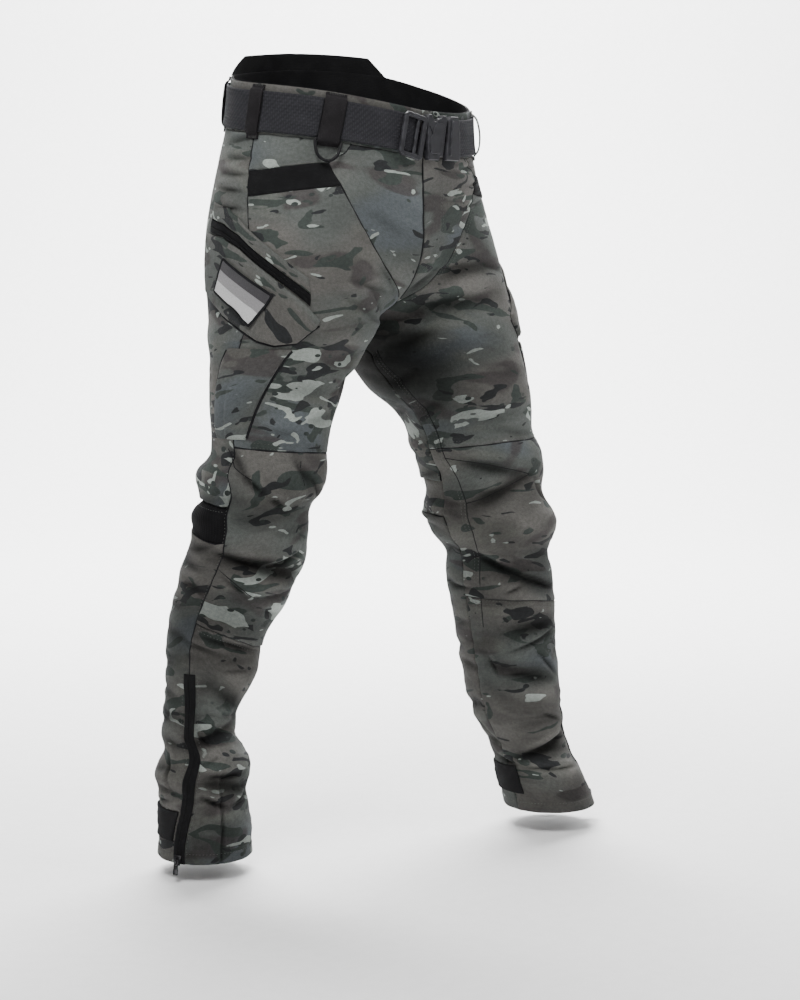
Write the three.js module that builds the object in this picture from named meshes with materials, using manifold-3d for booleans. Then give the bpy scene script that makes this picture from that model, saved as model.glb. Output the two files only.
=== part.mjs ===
// Cargo trousers worn in a wide stride, with their belt, as hollow cloth pieces.
// Millimetres. The origin is the middle of the waist opening, +Z up, -Y the wearer's front,
// +X the wearer's left. Each leg is a sheet with two coordinates: t runs round the leg from the
// centre front or inseam (0) over the front, the outseam (about 0.46) and the back to 1, and z is
// the height before the waist is tilted.
import * as THREE from "three";
import { mergeVertices } from "three/addons/utils/BufferGeometryUtils.js";
import Module from "manifold-3d";

const wasm = await Module();
wasm.setup();

// Cloth and seams
const WALL = 1.6;
const SEAM = 0.3;
const PANEL_RISE = 1.0;
const POCKET_WALL = 1.5;
const BAND_WALL = 2.6;
const BAND_RISE = 1.0;

// Waist
const WAIST_TILT = 0.18;
const WAIST_TWIST = 6;
const BAND_HEIGHT = 55;
const BELT_TOP = -8;
const BELT_WIDTH = 45;
const BELT_THICK = 3;
const BELT_RISE = 1.2;
const BACK_RISE = 21;
const BACK_RISE_FROM = 0.715;
const BACK_RISE_FULL = { R: 0.83, L: 0.765 };
const FACING_WALL = 1.0;

// Crotch: the height of its lowest point, its place between front and back, and where the
// centre seam starts to curve
const CROTCH_Z = -262;
const CROTCH_Y = 8;
const CURVE_TOP = -160;
const LEG_START = -60;

// Columns of cloth between two rows
const COLUMNS = 22;
const SIDE_COLUMN = 10;

// Sections of the hips: half the width, and the depth in front and behind
const hips = [
  { z: 60, width: 161, front: 113, back: 116 },
  { z: 0, width: 161, front: 114, back: 118 },
  { z: -45, width: 164, front: 115, back: 124 },
  { z: -90, width: 174, front: 116, back: 134 },
  { z: -135, width: 182, front: 117, back: 143 },
  { z: -180, width: 188, front: 118, back: 148 },
  { z: -225, width: 190, front: 118, back: 146 },
  { z: -262, width: 190, front: 118, back: 140 },
];

// Sections of each leg: where its middle is, and half its width and depth
const legs = {
  R: [
    { z: -150, x: -88, y: 0, width: 88, depth: 140 },
    { z: -205, x: -88, y: 0, width: 88, depth: 134 },
    { z: -242, x: -89, y: 0, width: 89, depth: 124 },
    { z: -262, x: -92, y: 1, width: 92, depth: 112 },
    { z: -280, x: -98, y: 3, width: 93, depth: 102 },
    { z: -301, x: -105, y: 5, width: 89, depth: 88 },
    { z: -352, x: -117, y: 12, width: 76, depth: 75 },
    { z: -411, x: -124, y: 14, width: 68, depth: 67 },
    { z: -434, x: -129, y: 17, width: 73, depth: 74 },
    { z: -457, x: -132, y: 18, width: 71, depth: 71 },
    { z: -481, x: -141, y: 25, width: 65, depth: 66 },
    { z: -504, x: -143, y: 25, width: 67, depth: 67 },
    { z: -551, x: -153, y: 32, width: 70, depth: 70 },
    { z: -598, x: -169, y: 43, width: 63, depth: 63 },
    { z: -634, x: -179, y: 50, width: 56, depth: 56 },
    { z: -669, x: -183, y: 51, width: 53, depth: 53 },
    { z: -705, x: -192, y: 58, width: 45, depth: 45 },
    { z: -740, x: -197, y: 60, width: 42, depth: 42 },
    { z: -763, x: -193, y: 54, width: 46, depth: 46 },
    { z: -787, x: -197, y: 55, width: 54, depth: 55 },
    { z: -811, x: -196, y: 53, width: 51, depth: 51 },
    { z: -847, x: -196, y: 50, width: 53, depth: 54 },
    { z: -884, x: -198, y: 49, width: 55, depth: 56 },
  ],
  L: [
    { z: -150, x: 100, y: -10, width: 100, depth: 110 },
    { z: -205, x: 103, y: -16, width: 103, depth: 106 },
    { z: -242, x: 106, y: -20, width: 106, depth: 104 },
    { z: -262, x: 108, y: -21, width: 108, depth: 104 },
    { z: -280, x: 113, y: -22, width: 106, depth: 106 },
    { z: -301, x: 120, y: -23, width: 99, depth: 108 },
    { z: -326, x: 128, y: -25, width: 94, depth: 110 },
    { z: -351, x: 136, y: -31, width: 90, depth: 104 },
    { z: -375, x: 148, y: -40, width: 85, depth: 85 },
    { z: -400, x: 154, y: -45, width: 78, depth: 78 },
    { z: -425, x: 161, y: -50, width: 80, depth: 81 },
    { z: -450, x: 168, y: -54, width: 76, depth: 77 },
    { z: -475, x: 171, y: -55, width: 72, depth: 72 },
    { z: -501, x: 175, y: -57, width: 79, depth: 80 },
    { z: -526, x: 181, y: -61, width: 75, depth: 76 },
    { z: -551, x: 186, y: -63, width: 64, depth: 64 },
    { z: -577, x: 189, y: -64, width: 66, depth: 67 },
    { z: -641, x: 197, y: -67, width: 63, depth: 63 },
    { z: -718, x: 206, y: -71, width: 58, depth: 59 },
    { z: -757, x: 213, y: -74, width: 55, depth: 55 },
    { z: -797, x: 224, y: -82, width: 48, depth: 48 },
    { z: -849, x: 241, y: -94, width: 55, depth: 55 },
    { z: -878, x: 248, y: -99, width: 57, depth: 58 },
  ],
};

// How far the waist rises above its tilted plane
const waistRise = [
  { t: 0, rise: 0 },
  { t: 0.25, rise: 5 },
  { t: 0.5, rise: 8 },
  { t: 0.6, rise: 10 },
  { t: 0.7, rise: 14 },
  { t: 1, rise: 16 },
];

// The outseam, and the slanted seam that runs from the belt past the pocket to the crotch,
// with the column of the sheet it follows
const outseam = [
  { z: 60, t: 0.468 },
  { z: -400, t: 0.468 },
  { z: -505, t: 0.432 },
  { z: -600, t: 0.445 },
  { z: -669, t: 0.44 },
  { z: -705, t: 0.41 },
  { z: -770, t: 0.398 },
  { z: -810, t: 0.415 },
  { z: -860, t: 0.453 },
  { z: -890, t: 0.45 },
];
const slant = [
  { row: 0, t: 0.192, column: 4 },
  { row: 1, t: 0.205, column: 4 },
  { row: 2, t: 0.246, column: 4 },
  { row: 3, t: 0.233, column: 4 },
  { row: 4, t: 0.217, column: 4 },
  { row: 5, t: 0.198, column: 4 },
  { row: 6, t: 0.175, column: 4 },
  { row: 7, t: 0.142, column: 3 },
  { row: 8, t: 0.105, column: 2 },
  { row: 9, t: 0.06, column: 1 },
  { row: 10, t: 0, column: 0 },
];

// Seams that run round the leg, from the waist down: their heights at the inner side, front,
// outseam, rear and centre back, and the rows of cloth down to the next one
const levels = {
  R: [
    { at: "waist", rows: 2, inner: -55, front: -55, side: -55, rear: -55, back: -55 },
    { at: "bandTop", rows: 2, inner: -84, front: -78, side: -95, rear: -97, back: -97 },
    { at: "bandLow", rows: 7, inner: -108, front: -106, side: -121, rear: -124, back: -124 },
    { at: "crotch", rows: 8, inner: -262, front: -262, side: -262, rear: -262, back: -262 },
    { at: "kneeTop", rows: 3, inner: -419, front: -411, side: -403, rear: -408, back: -419 },
    { at: "bendTop", rows: 3, inner: -458, front: -455, side: -471, rear: -458, back: -458 },
    { at: "bendLow", rows: 7, inner: -503, front: -500, side: -514, rear: -494, back: -503 },
    { at: "kneeLow", rows: 11, inner: -648, front: -634, side: -602, rear: -618, back: -648 },
    { at: "tabTop", rows: 2, inner: -824, front: -824, side: -824, rear: -824, back: -824 },
    { at: "tabLow", rows: 2, inner: -860, front: -860, side: -860, rear: -860, back: -860 },
    { at: "hem", rows: 0, inner: -884, front: -884, side: -884, rear: -884, back: -884 },
  ],
  L: [
    { at: "waist", rows: 2, inner: -55, front: -55, side: -55, rear: -55, back: -55 },
    { at: "bandTop", rows: 2, inner: -84, front: -78, side: -95, rear: -97, back: -97 },
    { at: "bandLow", rows: 7, inner: -108, front: -106, side: -121, rear: -124, back: -124 },
    { at: "crotch", rows: 8, inner: -262, front: -262, side: -262, rear: -262, back: -262 },
    { at: "kneeTop", rows: 3, inner: -419, front: -409, side: -407, rear: -410, back: -419 },
    { at: "bendTop", rows: 3, inner: -458, front: -450, side: -455, rear: -458, back: -458 },
    { at: "bendLow", rows: 7, inner: -503, front: -500, side: -502, rear: -500, back: -503 },
    { at: "kneeLow", rows: 11, inner: -602, front: -606, side: -620, rear: -615, back: -602 },
    { at: "tabTop", rows: 2, inner: -820, front: -820, side: -820, rear: -820, back: -820 },
    { at: "tabLow", rows: 2, inner: -855, front: -855, side: -855, rear: -855, back: -855 },
    { at: "hem", rows: 0, inner: -878, front: -878, side: -878, rear: -878, back: -878 },
  ],
};

// The largest folds: the middle of each, its slope in mm of height for one turn of t, its half
// length in t, its half width in mm and its depth (below zero it goes in)
const folds = {
  R: [
    { t: 0.44, z: -422, slope: 380, length: 0.07, width: 9, depth: -4 },
    { t: 0.26, z: -434, slope: 500, length: 0.06, width: 9, depth: -4 },
    { t: 0.28, z: -542, slope: 110, length: 0.2, width: 12, depth: -8 },
    { t: 0.3, z: -518, slope: 60, length: 0.2, width: 14, depth: 5 },
    { t: 0.62, z: -440, slope: 30, length: 0.2, width: 14, depth: 4 },
    { t: 0.62, z: -466, slope: 0, length: 0.22, width: 11, depth: -5 },
    { t: 0.62, z: -490, slope: 0, length: 0.2, width: 12, depth: 3 },
    { t: 0.2, z: -585, slope: 90, length: 0.16, width: 14, depth: 4 },
    { t: 0.24, z: -698, slope: 160, length: 0.2, width: 13, depth: -5 },
    { t: 0.28, z: -736, slope: -120, length: 0.2, width: 11, depth: -4 },
    { t: 0.2, z: -768, slope: 60, length: 0.24, width: 12, depth: 4 },
    { t: 0.24, z: -798, slope: 80, length: 0.22, width: 10, depth: -5 },
    { t: 0.7, z: -560, slope: 90, length: 0.16, width: 14, depth: -4 },
    { t: 0.72, z: -700, slope: -120, length: 0.16, width: 14, depth: -4 },
    { t: 0.7, z: -790, slope: 60, length: 0.18, width: 12, depth: -4 },
    { t: 0.72, z: -290, slope: 120, length: 0.14, width: 18, depth: -5 },
    { t: 0.12, z: -330, slope: -300, length: 0.09, width: 16, depth: -5 },
  ],
  L: [
    { t: 0.2, z: -203, slope: 60, length: 0.17, width: 13, depth: -5 },
    { t: 0.19, z: -240, slope: 50, length: 0.16, width: 13, depth: -5 },
    { t: 0.2, z: -222, slope: 60, length: 0.16, width: 10, depth: 3 },
    { t: 0.15, z: -441, slope: -100, length: 0.14, width: 12, depth: -6 },
    { t: 0.17, z: -469, slope: 190, length: 0.13, width: 12, depth: -6 },
    { t: 0.28, z: -510, slope: 0, length: 0.18, width: 18, depth: 5 },
    { t: 0.22, z: -582, slope: -130, length: 0.2, width: 13, depth: -6 },
    { t: 0.22, z: -640, slope: 60, length: 0.16, width: 12, depth: -4 },
    { t: 0.18, z: -700, slope: -90, length: 0.18, width: 12, depth: -4 },
    { t: 0.24, z: -722, slope: 30, length: 0.16, width: 12, depth: 3 },
    { t: 0.2, z: -800, slope: 60, length: 0.2, width: 11, depth: -4 },
    { t: 0.24, z: -826, slope: -40, length: 0.2, width: 10, depth: 3 },
    { t: 0.64, z: -446, slope: -30, length: 0.2, width: 14, depth: 6 },
    { t: 0.64, z: -476, slope: 0, length: 0.22, width: 12, depth: -5 },
    { t: 0.7, z: -560, slope: -90, length: 0.16, width: 14, depth: -4 },
    { t: 0.72, z: -690, slope: 120, length: 0.16, width: 14, depth: -4 },
    { t: 0.72, z: -300, slope: -120, length: 0.14, width: 18, depth: -5 },
    { t: 0.93, z: -380, slope: 200, length: 0.08, width: 14, depth: -4 },
  ],
};

// Cargo pocket: the stitched welt above its zip, the zip, and the pointed front under the zip,
// each from rear to front with its upper and lower edge, and the bag below that from top to
// bottom with its front and rear edge
const cargoWelt = [
  { t: 0.595, top: -128, low: -144 },
  { t: 0.54, top: -133, low: -150 },
  { t: 0.495, top: -144, low: -163 },
  { t: 0.438, top: -173, low: -192 },
  { t: 0.37, top: -211, low: -228 },
];
const cargoZip = [
  { t: 0.595, top: -145, low: -159 },
  { t: 0.54, top: -151, low: -165 },
  { t: 0.495, top: -164, low: -178 },
  { t: 0.438, top: -193, low: -207 },
  { t: 0.37, top: -229, low: -242 },
];
const cargoFlap = [
  { t: 0.61, top: -160, low: -228 },
  { t: 0.54, top: -166, low: -254 },
  { t: 0.495, top: -179, low: -266 },
  { t: 0.438, top: -208, low: -281 },
  { t: 0.4, top: -229, low: -286 },
  { t: 0.36, top: -250, low: -283 },
  { t: 0.342, top: -257, low: -266 },
];
const cargoBag = [
  { z: -290, front: 0.36, rear: 0.5 },
  { z: -315, front: 0.377, rear: 0.522 },
  { z: -377, front: 0.42, rear: 0.543 },
  { z: -394, front: 0.432, rear: 0.535 },
];
const FLAP_PUFF = 5;
const BAG_PUFF = 5;

// Hook-and-loop patch on the right pocket front
const PATCH_WIDTH = 85;
const PATCH_HEIGHT = 45;
const PATCH_T = 0.492;
const PATCH_Z = -228;
const PATCH_SLOPE = 30;

// Ankle zip and the strap that closes the hem
const ZIP_TOP = -664;
const ZIP_WIDTH = 14;
const STRAP_START = 0.03;
const STRAP_END = 1.04;

// Belt loops: the middle and width of each, how far it leans over 50 mm and how far it stands
// off the belt
const loops = [
  { name: "loop_ring_R", leg: "R", t: 0.243, width: 24, lean: 0.019, lift: 0 },
  { name: "loop_side_R", leg: "R", t: 0.468, width: 17, lean: 0.016, lift: 0 },
  { name: "loop_rear_R", leg: "R", t: 0.72, width: 17, lean: 0, lift: 1.5 },
  { name: "loop_front_L", leg: "L", t: 0.29, width: 17, lean: 0, lift: 5 },
  { name: "loop_side_L", leg: "L", t: 0.49, width: 17, lean: 0, lift: 1 },
  { name: "loop_rear_L", leg: "L", t: 0.72, width: 17, lean: 0, lift: 0 },
];
const LOOP_MIDDLE = -30;
const LEAN_END = -50;

// Ring under the wide loop
const RING_WIDTH = 29;
const RING_DROP = 23.5;
const RING_WIRE = 3.6;
const RING_Z = -55.4;
const RING_OUT = 3.1;
const RING_LEAN = 10;

// Buckle: where its three parts sit along the front, their length, and their heights
const BUCKLE_Z = -30.5;
const FRAME_X = -22.3;
const FRAME_LENGTH = 36;
const FRAME_HEIGHT = 54;
const PLATE_X = 16;
const PLATE_LENGTH = 36;
const PLATE_HEIGHT = 52;
const END_X = 46.5;
const END_LENGTH = 24;
const END_HEIGHT = 50;

// Slider and pull of an ankle zip
const SLIDER_WIDTH = 9;
const SLIDER_LENGTH = 11;
const PULL_LENGTH = 17;
const PULL_WIDTH = 6.4;

// Helpers
const lerp = (a, b, u) => a + (b - a) * u;
const clamp = (v, a, b) => Math.min(b, Math.max(a, v));
const ease = (a, b, v) => {
  const u = clamp((v - a) / (b - a), 0, 1);
  return u * u * (3 - 2 * u);
};

// Reads one column of a table, smooth between its rows
function read(table, key, at, name) {
  const n = table.length;
  const sign = Math.sign(table[n - 1][key] - table[0][key]);
  let k = 0;
  while (k < n - 2 && sign * (at - table[k + 1][key]) > 0) k += 1;
  const slope = (i) => {
    const a = table[Math.max(0, i - 1)];
    const b = table[Math.min(n - 1, i + 1)];
    return (b[name] - a[name]) / (b[key] - a[key]);
  };
  const a = table[k];
  const b = table[k + 1];
  const h = b[key] - a[key];
  const u = clamp((at - a[key]) / h, 0, 1);
  const uu = u * u;
  const uuu = uu * u;
  return (
    (2 * uuu - 3 * uu + 1) * a[name] +
    (uuu - 2 * uu + u) * h * slope(k) +
    (3 * uu - 2 * uuu) * b[name] +
    (uuu - uu) * h * slope(k + 1)
  );
}

// Reads one column of a table, straight between its rows
function readStraight(table, key, at, name) {
  const n = table.length;
  const sign = Math.sign(table[n - 1][key] - table[0][key]);
  let k = 0;
  while (k < n - 2 && sign * (at - table[k + 1][key]) > 0) k += 1;
  const a = table[k];
  const b = table[k + 1];
  return lerp(a[name], b[name], clamp((at - a[key]) / (b[key] - a[key]), 0, 1));
}

// The smooth garment without its folds
function plainPoint(leg, t, z) {
  const side = leg === "R" ? -1 : 1;
  const table = legs[leg];
  const legZ = Math.min(z, -150);
  const width = read(table, "z", legZ, "width");
  const depth = read(table, "z", legZ, "depth");
  const legX = read(table, "z", legZ, "x");
  const legY = read(table, "z", legZ, "y");
  const hipZ = Math.max(z, CROTCH_Z);
  const hipWidth = read(hips, "z", hipZ, "width");
  const hipDepth = read(hips, "z", hipZ, t < 0.5 ? "front" : "back");
  const down = clamp((CURVE_TOP - z) / (CURVE_TOP - CROTCH_Z), 0, 1);
  const inner = z <= CROTCH_Z ? 1 : 1 - Math.sqrt(1 - down * down);
  const outer = ease(LEG_START, CROTCH_Z, z);
  const cos = Math.cos(Math.PI * t);
  const part = outer + (inner - outer) * cos ** 4;
  const shared = ease(CROTCH_Z - 110, CROTCH_Z, z) * cos * cos;
  const middleX = z >= CROTCH_Z ? side * width : legX;
  const middleY = lerp(legY, CROTCH_Y, shared);
  const ringX = middleX - side * width * Math.cos(2 * Math.PI * t);
  const ringY = middleY - depth * Math.sin(2 * Math.PI * t);
  const x = lerp(side * hipWidth * Math.sin(Math.PI * t), ringX, part);
  const y = lerp(-hipDepth * cos, ringY, part);
  const twist = -side * WAIST_TWIST * Math.sin(2 * Math.PI * t);
  const lift = WAIST_TILT * y + readStraight(waistRise, "t", t, "rise") + twist;
  return new THREE.Vector3(x, y, z + lift * ease(-170, -20, z));
}

const turn = (t, z) => (z < CROTCH_Z ? t - Math.floor(t) : clamp(t, 0, 1));

// Outward direction of a sheet, from its neighbours
function outward(leg, t, z, at) {
  const step = 0.004;
  const low = z < CROTCH_Z ? t - step : Math.max(0, t - step);
  const high = z < CROTCH_Z ? t + step : Math.min(1, t + step);
  const across = at(leg, high, z).sub(at(leg, low, z));
  const along = at(leg, t, z - 1.5).sub(at(leg, t, z + 1.5));
  const n = across.cross(along).normalize();
  return leg === "R" ? n : n.negate();
}

const plain = (leg, t, z) => plainPoint(leg, turn(t, z), z);

function foldDepth(leg, t, z) {
  let sum = 0;
  for (const fold of folds[leg]) {
    let away = t - fold.t;
    if (z < CROTCH_Z) away -= Math.round(away);
    if (Math.abs(away) >= fold.length) continue;
    const rise = z - fold.z - fold.slope * away;
    const end = Math.cos((Math.PI / 2) * (away / fold.length));
    sum += fold.depth * end * end * Math.exp(-((rise / fold.width) ** 2));
  }
  return sum;
}

// The outer face of the garment
function skin(leg, t, z) {
  const p = plain(leg, t, z);
  const depth = foldDepth(leg, turn(t, z), z);
  if (Math.abs(depth) < 1e-3) return p;
  return p.addScaledVector(outward(leg, t, z, plain), depth);
}

const group = new THREE.Group();
group.name = "cargo_pants";

// Colours: the first row whose word is part of a piece's name is used
const looks = [
  { word: "buckle", color: 0x2a2b2e, roughness: 0.5, metalness: 0 },
  { word: "d_ring", color: 0x1d1d20, roughness: 0.4, metalness: 0.6 },
  { word: "slider", color: 0x232326, roughness: 0.4, metalness: 0.8 },
  { word: "pull", color: 0x232326, roughness: 0.4, metalness: 0.8 },
  { word: "belt", color: 0x2c2c30, roughness: 0.85, metalness: 0 },
  { word: "loop_front", color: 0x555a55, roughness: 0.9, metalness: 0 },
  { word: "loop", color: 0x1a1a1d, roughness: 0.9, metalness: 0 },
  { word: "zip", color: 0x141416, roughness: 0.9, metalness: 0 },
  { word: "strap", color: 0x141416, roughness: 0.95, metalness: 0 },
  { word: "pocket_band", color: 0x17171a, roughness: 0.9, metalness: 0 },
  { word: "knee_back", color: 0x151517, roughness: 0.9, metalness: 0 },
  { word: "facing", color: 0x18181a, roughness: 0.9, metalness: 0 },
  { word: "back_rise", color: 0x18181a, roughness: 0.9, metalness: 0 },
  { word: "patch", color: 0x6f7073, roughness: 0.85, metalness: 0 },
  { word: "", color: 0x4e524e, roughness: 0.9, metalness: 0 },
];

function addMesh(name, positions, faces) {
  const geometry = new THREE.BufferGeometry();
  geometry.setAttribute("position", new THREE.Float32BufferAttribute(positions, 3));
  geometry.setIndex(faces);
  geometry.computeVertexNormals();
  const { color, roughness, metalness } = looks.find((look) => name.includes(look.word));
  const material = new THREE.MeshStandardMaterial({ color, roughness, metalness });
  const mesh = new THREE.Mesh(geometry, material);
  mesh.name = name;
  group.add(mesh);
}

// A closed shell from the triangles of a sheet: its outer points, its inner points, and a rim
function addShell(name, outer, inner, triangles) {
  const edges = new Map();
  for (const [a, b, c] of triangles) {
    for (const [from, to] of [[a, b], [b, c], [c, a]]) {
      if (edges.has(`${to},${from}`)) edges.delete(`${to},${from}`);
      else edges.set(`${from},${to}`, [from, to]);
    }
  }
  const index = new Map();
  const positions = [];
  const number = (kind, key) => {
    const id = kind + key;
    if (!index.has(id)) {
      const p = (kind === "o" ? outer : inner).get(key);
      index.set(id, positions.length / 3);
      positions.push(p.x, p.y, p.z);
    }
    return index.get(id);
  };
  const faces = [];
  for (const [a, b, c] of triangles) {
    faces.push(number("o", a), number("o", b), number("o", c));
    faces.push(number("i", a), number("i", c), number("i", b));
  }
  for (const [from, to] of edges.values()) {
    faces.push(number("o", from), number("i", from), number("o", to));
    faces.push(number("o", to), number("i", from), number("i", to));
  }
  addMesh(name, positions, faces);
}

// The rows of a leg: which seam each starts at, and its height at any t
function rowsOf(leg) {
  const rows = [];
  const list = levels[leg];
  for (let k = 0; k < list.length; k += 1) {
    const a = list[k];
    const b = list[Math.min(k + 1, list.length - 1)];
    for (let r = 0; r < Math.max(1, a.rows); r += 1) {
      const u = a.rows ? r / a.rows : 0;
      const row = (t) => {
        const at = (level) =>
          readStraight(
            [
              { t: 0, z: level.inner },
              { t: 0.22, z: level.front },
              { t: 0.46, z: level.side },
              { t: 0.75, z: level.rear },
              { t: 1, z: level.back },
            ],
            "t",
            t,
            "z",
          );
        return lerp(at(a), at(b), u);
      };
      rows.push(row);
    }
  }
  return rows;
}

function rowAt(leg, name) {
  let row = 0;
  for (const level of levels[leg]) {
    if (level.at === name) return row;
    row += level.rows;
  }
  return row;
}

// The sheet of one leg: t and z of each of its points
function sheetOf(leg) {
  return rowsOf(leg).map((row, j) => {
    const slantAt = slant.find((s) => s.row === j);
    return Array.from({ length: COLUMNS + 1 }, (_, i) => {
      const side = read(outseam, "z", row(0.46), "t");
      const from = slantAt ? slantAt.column : 0;
      const fromT = slantAt ? slantAt.t : 0;
      let t = lerp(side, 1, (i - SIDE_COLUMN) / (COLUMNS - SIDE_COLUMN));
      if (i <= from && from > 0) t = lerp(0, fromT, i / from);
      else if (i <= SIDE_COLUMN) t = lerp(fromT, side, (i - from) / (SIDE_COLUMN - from));
      return { t, z: row(t) };
    });
  });
}

const sheets = { R: sheetOf("R"), L: sheetOf("L") };

const slantColumn = (row) => {
  const found = slant.find((s) => s.row === row);
  return found ? found.column : 0;
};

// Is a triangle of the sheet in front of the slanted seam
function beforeSlant(i, j, half) {
  const top = slantColumn(j);
  const low = slantColumn(j + 1);
  if (i < Math.min(top, low)) return true;
  return i < Math.max(top, low) && half === 0;
}

// One cut piece: the triangles of the leg's sheet that pick() names, drawn back half a seam
function addPanel(name, leg, pick, rise = 0, wall = WALL) {
  const sheet = sheets[leg];
  const key = (i, j) => `${i}:${j}`;
  const triangles = [];
  const points = new Map();
  const flip = leg === "L";
  for (let j = 0; j < sheet.length - 1; j += 1) {
    for (let i = 0; i < COLUMNS; i += 1) {
      const halves = [
        [key(i, j), key(i + 1, j), key(i, j + 1)],
        [key(i + 1, j), key(i + 1, j + 1), key(i, j + 1)],
      ];
      halves.forEach((corners, half) => {
        if (!pick(i, j, half)) return;
        triangles.push(flip ? [corners[0], corners[2], corners[1]] : corners);
        for (const corner of corners) {
          const [a, b] = corner.split(":").map(Number);
          points.set(corner, { ...sheet[b][a], p: skin(leg, sheet[b][a].t, sheet[b][a].z) });
        }
      });
    }
  }
  for (const q of points.values()) q.n = outward(leg, q.t, q.z, skin);
  const inset = new Map();
  const edges = new Map();
  for (const [a, b, c] of triangles) {
    for (const [from, to] of [[a, b], [b, c], [c, a]]) {
      if (edges.has(`${to},${from}`)) edges.delete(`${to},${from}`);
      else edges.set(`${from},${to}`, [from, to]);
    }
  }
  for (const [from, to] of edges.values()) {
    const a = points.get(from);
    const b = points.get(to);
    const along = b.p.clone().sub(a.p).normalize();
    for (const end of [from, to]) {
      const into = points.get(end).n.clone().cross(along).normalize();
      if (!inset.has(end)) inset.set(end, []);
      inset.get(end).push(into);
    }
  }
  const outer = new Map();
  const inner = new Map();
  for (const [id, q] of points) {
    const p = q.p.clone();
    if (inset.has(id)) {
      const [m, k] = inset.get(id);
      const reach = Math.max(0.35, 1 + m.dot(k));
      p.addScaledVector(m.clone().add(k), SEAM / 2 / reach);
    }
    const side = leg === "R" ? -1 : 1;
    const n = q.n.clone();
    if (q.z >= CROTCH_Z && side * n.x > 0 && (q.t < 0.002 || q.t > 0.998)) n.setX(0).normalize();
    const out = p.clone().addScaledVector(n, rise);
    const back = p.clone().addScaledVector(n, rise - wall);
    for (const v of [out, back]) {
      if (q.z >= CROTCH_Z) v.x = side * Math.max(SEAM / 2, side * v.x);
    }
    outer.set(id, out);
    inner.set(id, back);
  }
  addShell(name, outer, inner, triangles);
}

for (const leg of ["R", "L"]) {
  const at = Object.fromEntries(levels[leg].map((level) => [level.at, rowAt(leg, level.at)]));
  const rows = (top, low, j) => j >= at[top] && j < at[low];
  const front = (i) => i < SIDE_COLUMN;
  addPanel(`front_centre_${leg}`, leg, (i, j, h) => j < at.crotch && beforeSlant(i, j, h));
  addPanel(`hip_${leg}`, leg, (i, j, h) => {
    return front(i) && rows("waist", "bandTop", j) && !beforeSlant(i, j, h);
  });
  addPanel(
    `pocket_band_${leg}`,
    leg,
    (i, j, h) => front(i) && rows("bandTop", "bandLow", j) && !beforeSlant(i, j, h),
    BAND_RISE,
    BAND_WALL,
  );
  addPanel(`thigh_front_${leg}`, leg, (i, j, h) => {
    return front(i) && rows("bandLow", "kneeTop", j) && !beforeSlant(i, j, h);
  });
  addPanel(`knee_${leg}`, leg, (i, j) => front(i) && rows("kneeTop", "kneeLow", j));
  addPanel(`shin_${leg}`, leg, (i, j) => front(i) && rows("kneeLow", "hem", j));
  addPanel(`back_${leg}`, leg, (i, j) => !front(i) && rows("waist", "bendTop", j));
  addPanel(`knee_back_${leg}`, leg, (i, j) => !front(i) && rows("bendTop", "bendLow", j));
  addPanel(`calf_${leg}`, leg, (i, j) => !front(i) && rows("bendLow", "hem", j));
}

// A strip laid on the garment: place(p, q) gives its t and z, out its height above the skin
function addPatch(name, leg, place, columns, rowCount, low, high, puff = 0) {
  const outer = new Map();
  const inner = new Map();
  const triangles = [];
  for (let j = 0; j <= rowCount; j += 1) {
    for (let i = 0; i <= columns; i += 1) {
      const [t, z] = place(i / columns, j / rowCount);
      const p = skin(leg, t, z);
      const n = outward(leg, t, z, skin);
      const swell = puff * Math.sin((Math.PI * i) / columns) * Math.sin((Math.PI * j) / rowCount);
      outer.set(`${i}:${j}`, p.clone().addScaledVector(n, high + swell));
      inner.set(`${i}:${j}`, p.clone().addScaledVector(n, low + swell));
    }
  }
  for (let j = 0; j < rowCount; j += 1) {
    for (let i = 0; i < columns; i += 1) {
      const [a, b, c, d] = [`${i}:${j}`, `${i + 1}:${j}`, `${i + 1}:${j + 1}`, `${i}:${j + 1}`];
      triangles.push([a, b, d], [b, c, d]);
    }
  }
  const [t0] = place(0, 0);
  const [t1] = place(1, 0);
  const forward = t1 > t0 === (leg === "R");
  const turned = forward ? triangles : triangles.map(([a, b, c]) => [a, c, b]);
  addShell(name, outer, inner, turned);
}

// Places a patch between the upper and lower edge of a table that runs along t
const between = (table) => (p, q) => {
  const first = table[0].t;
  const t = lerp(first, table[table.length - 1].t, p);
  return [t, lerp(readStraight(table, "t", t, "top"), readStraight(table, "t", t, "low"), q)];
};

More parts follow.
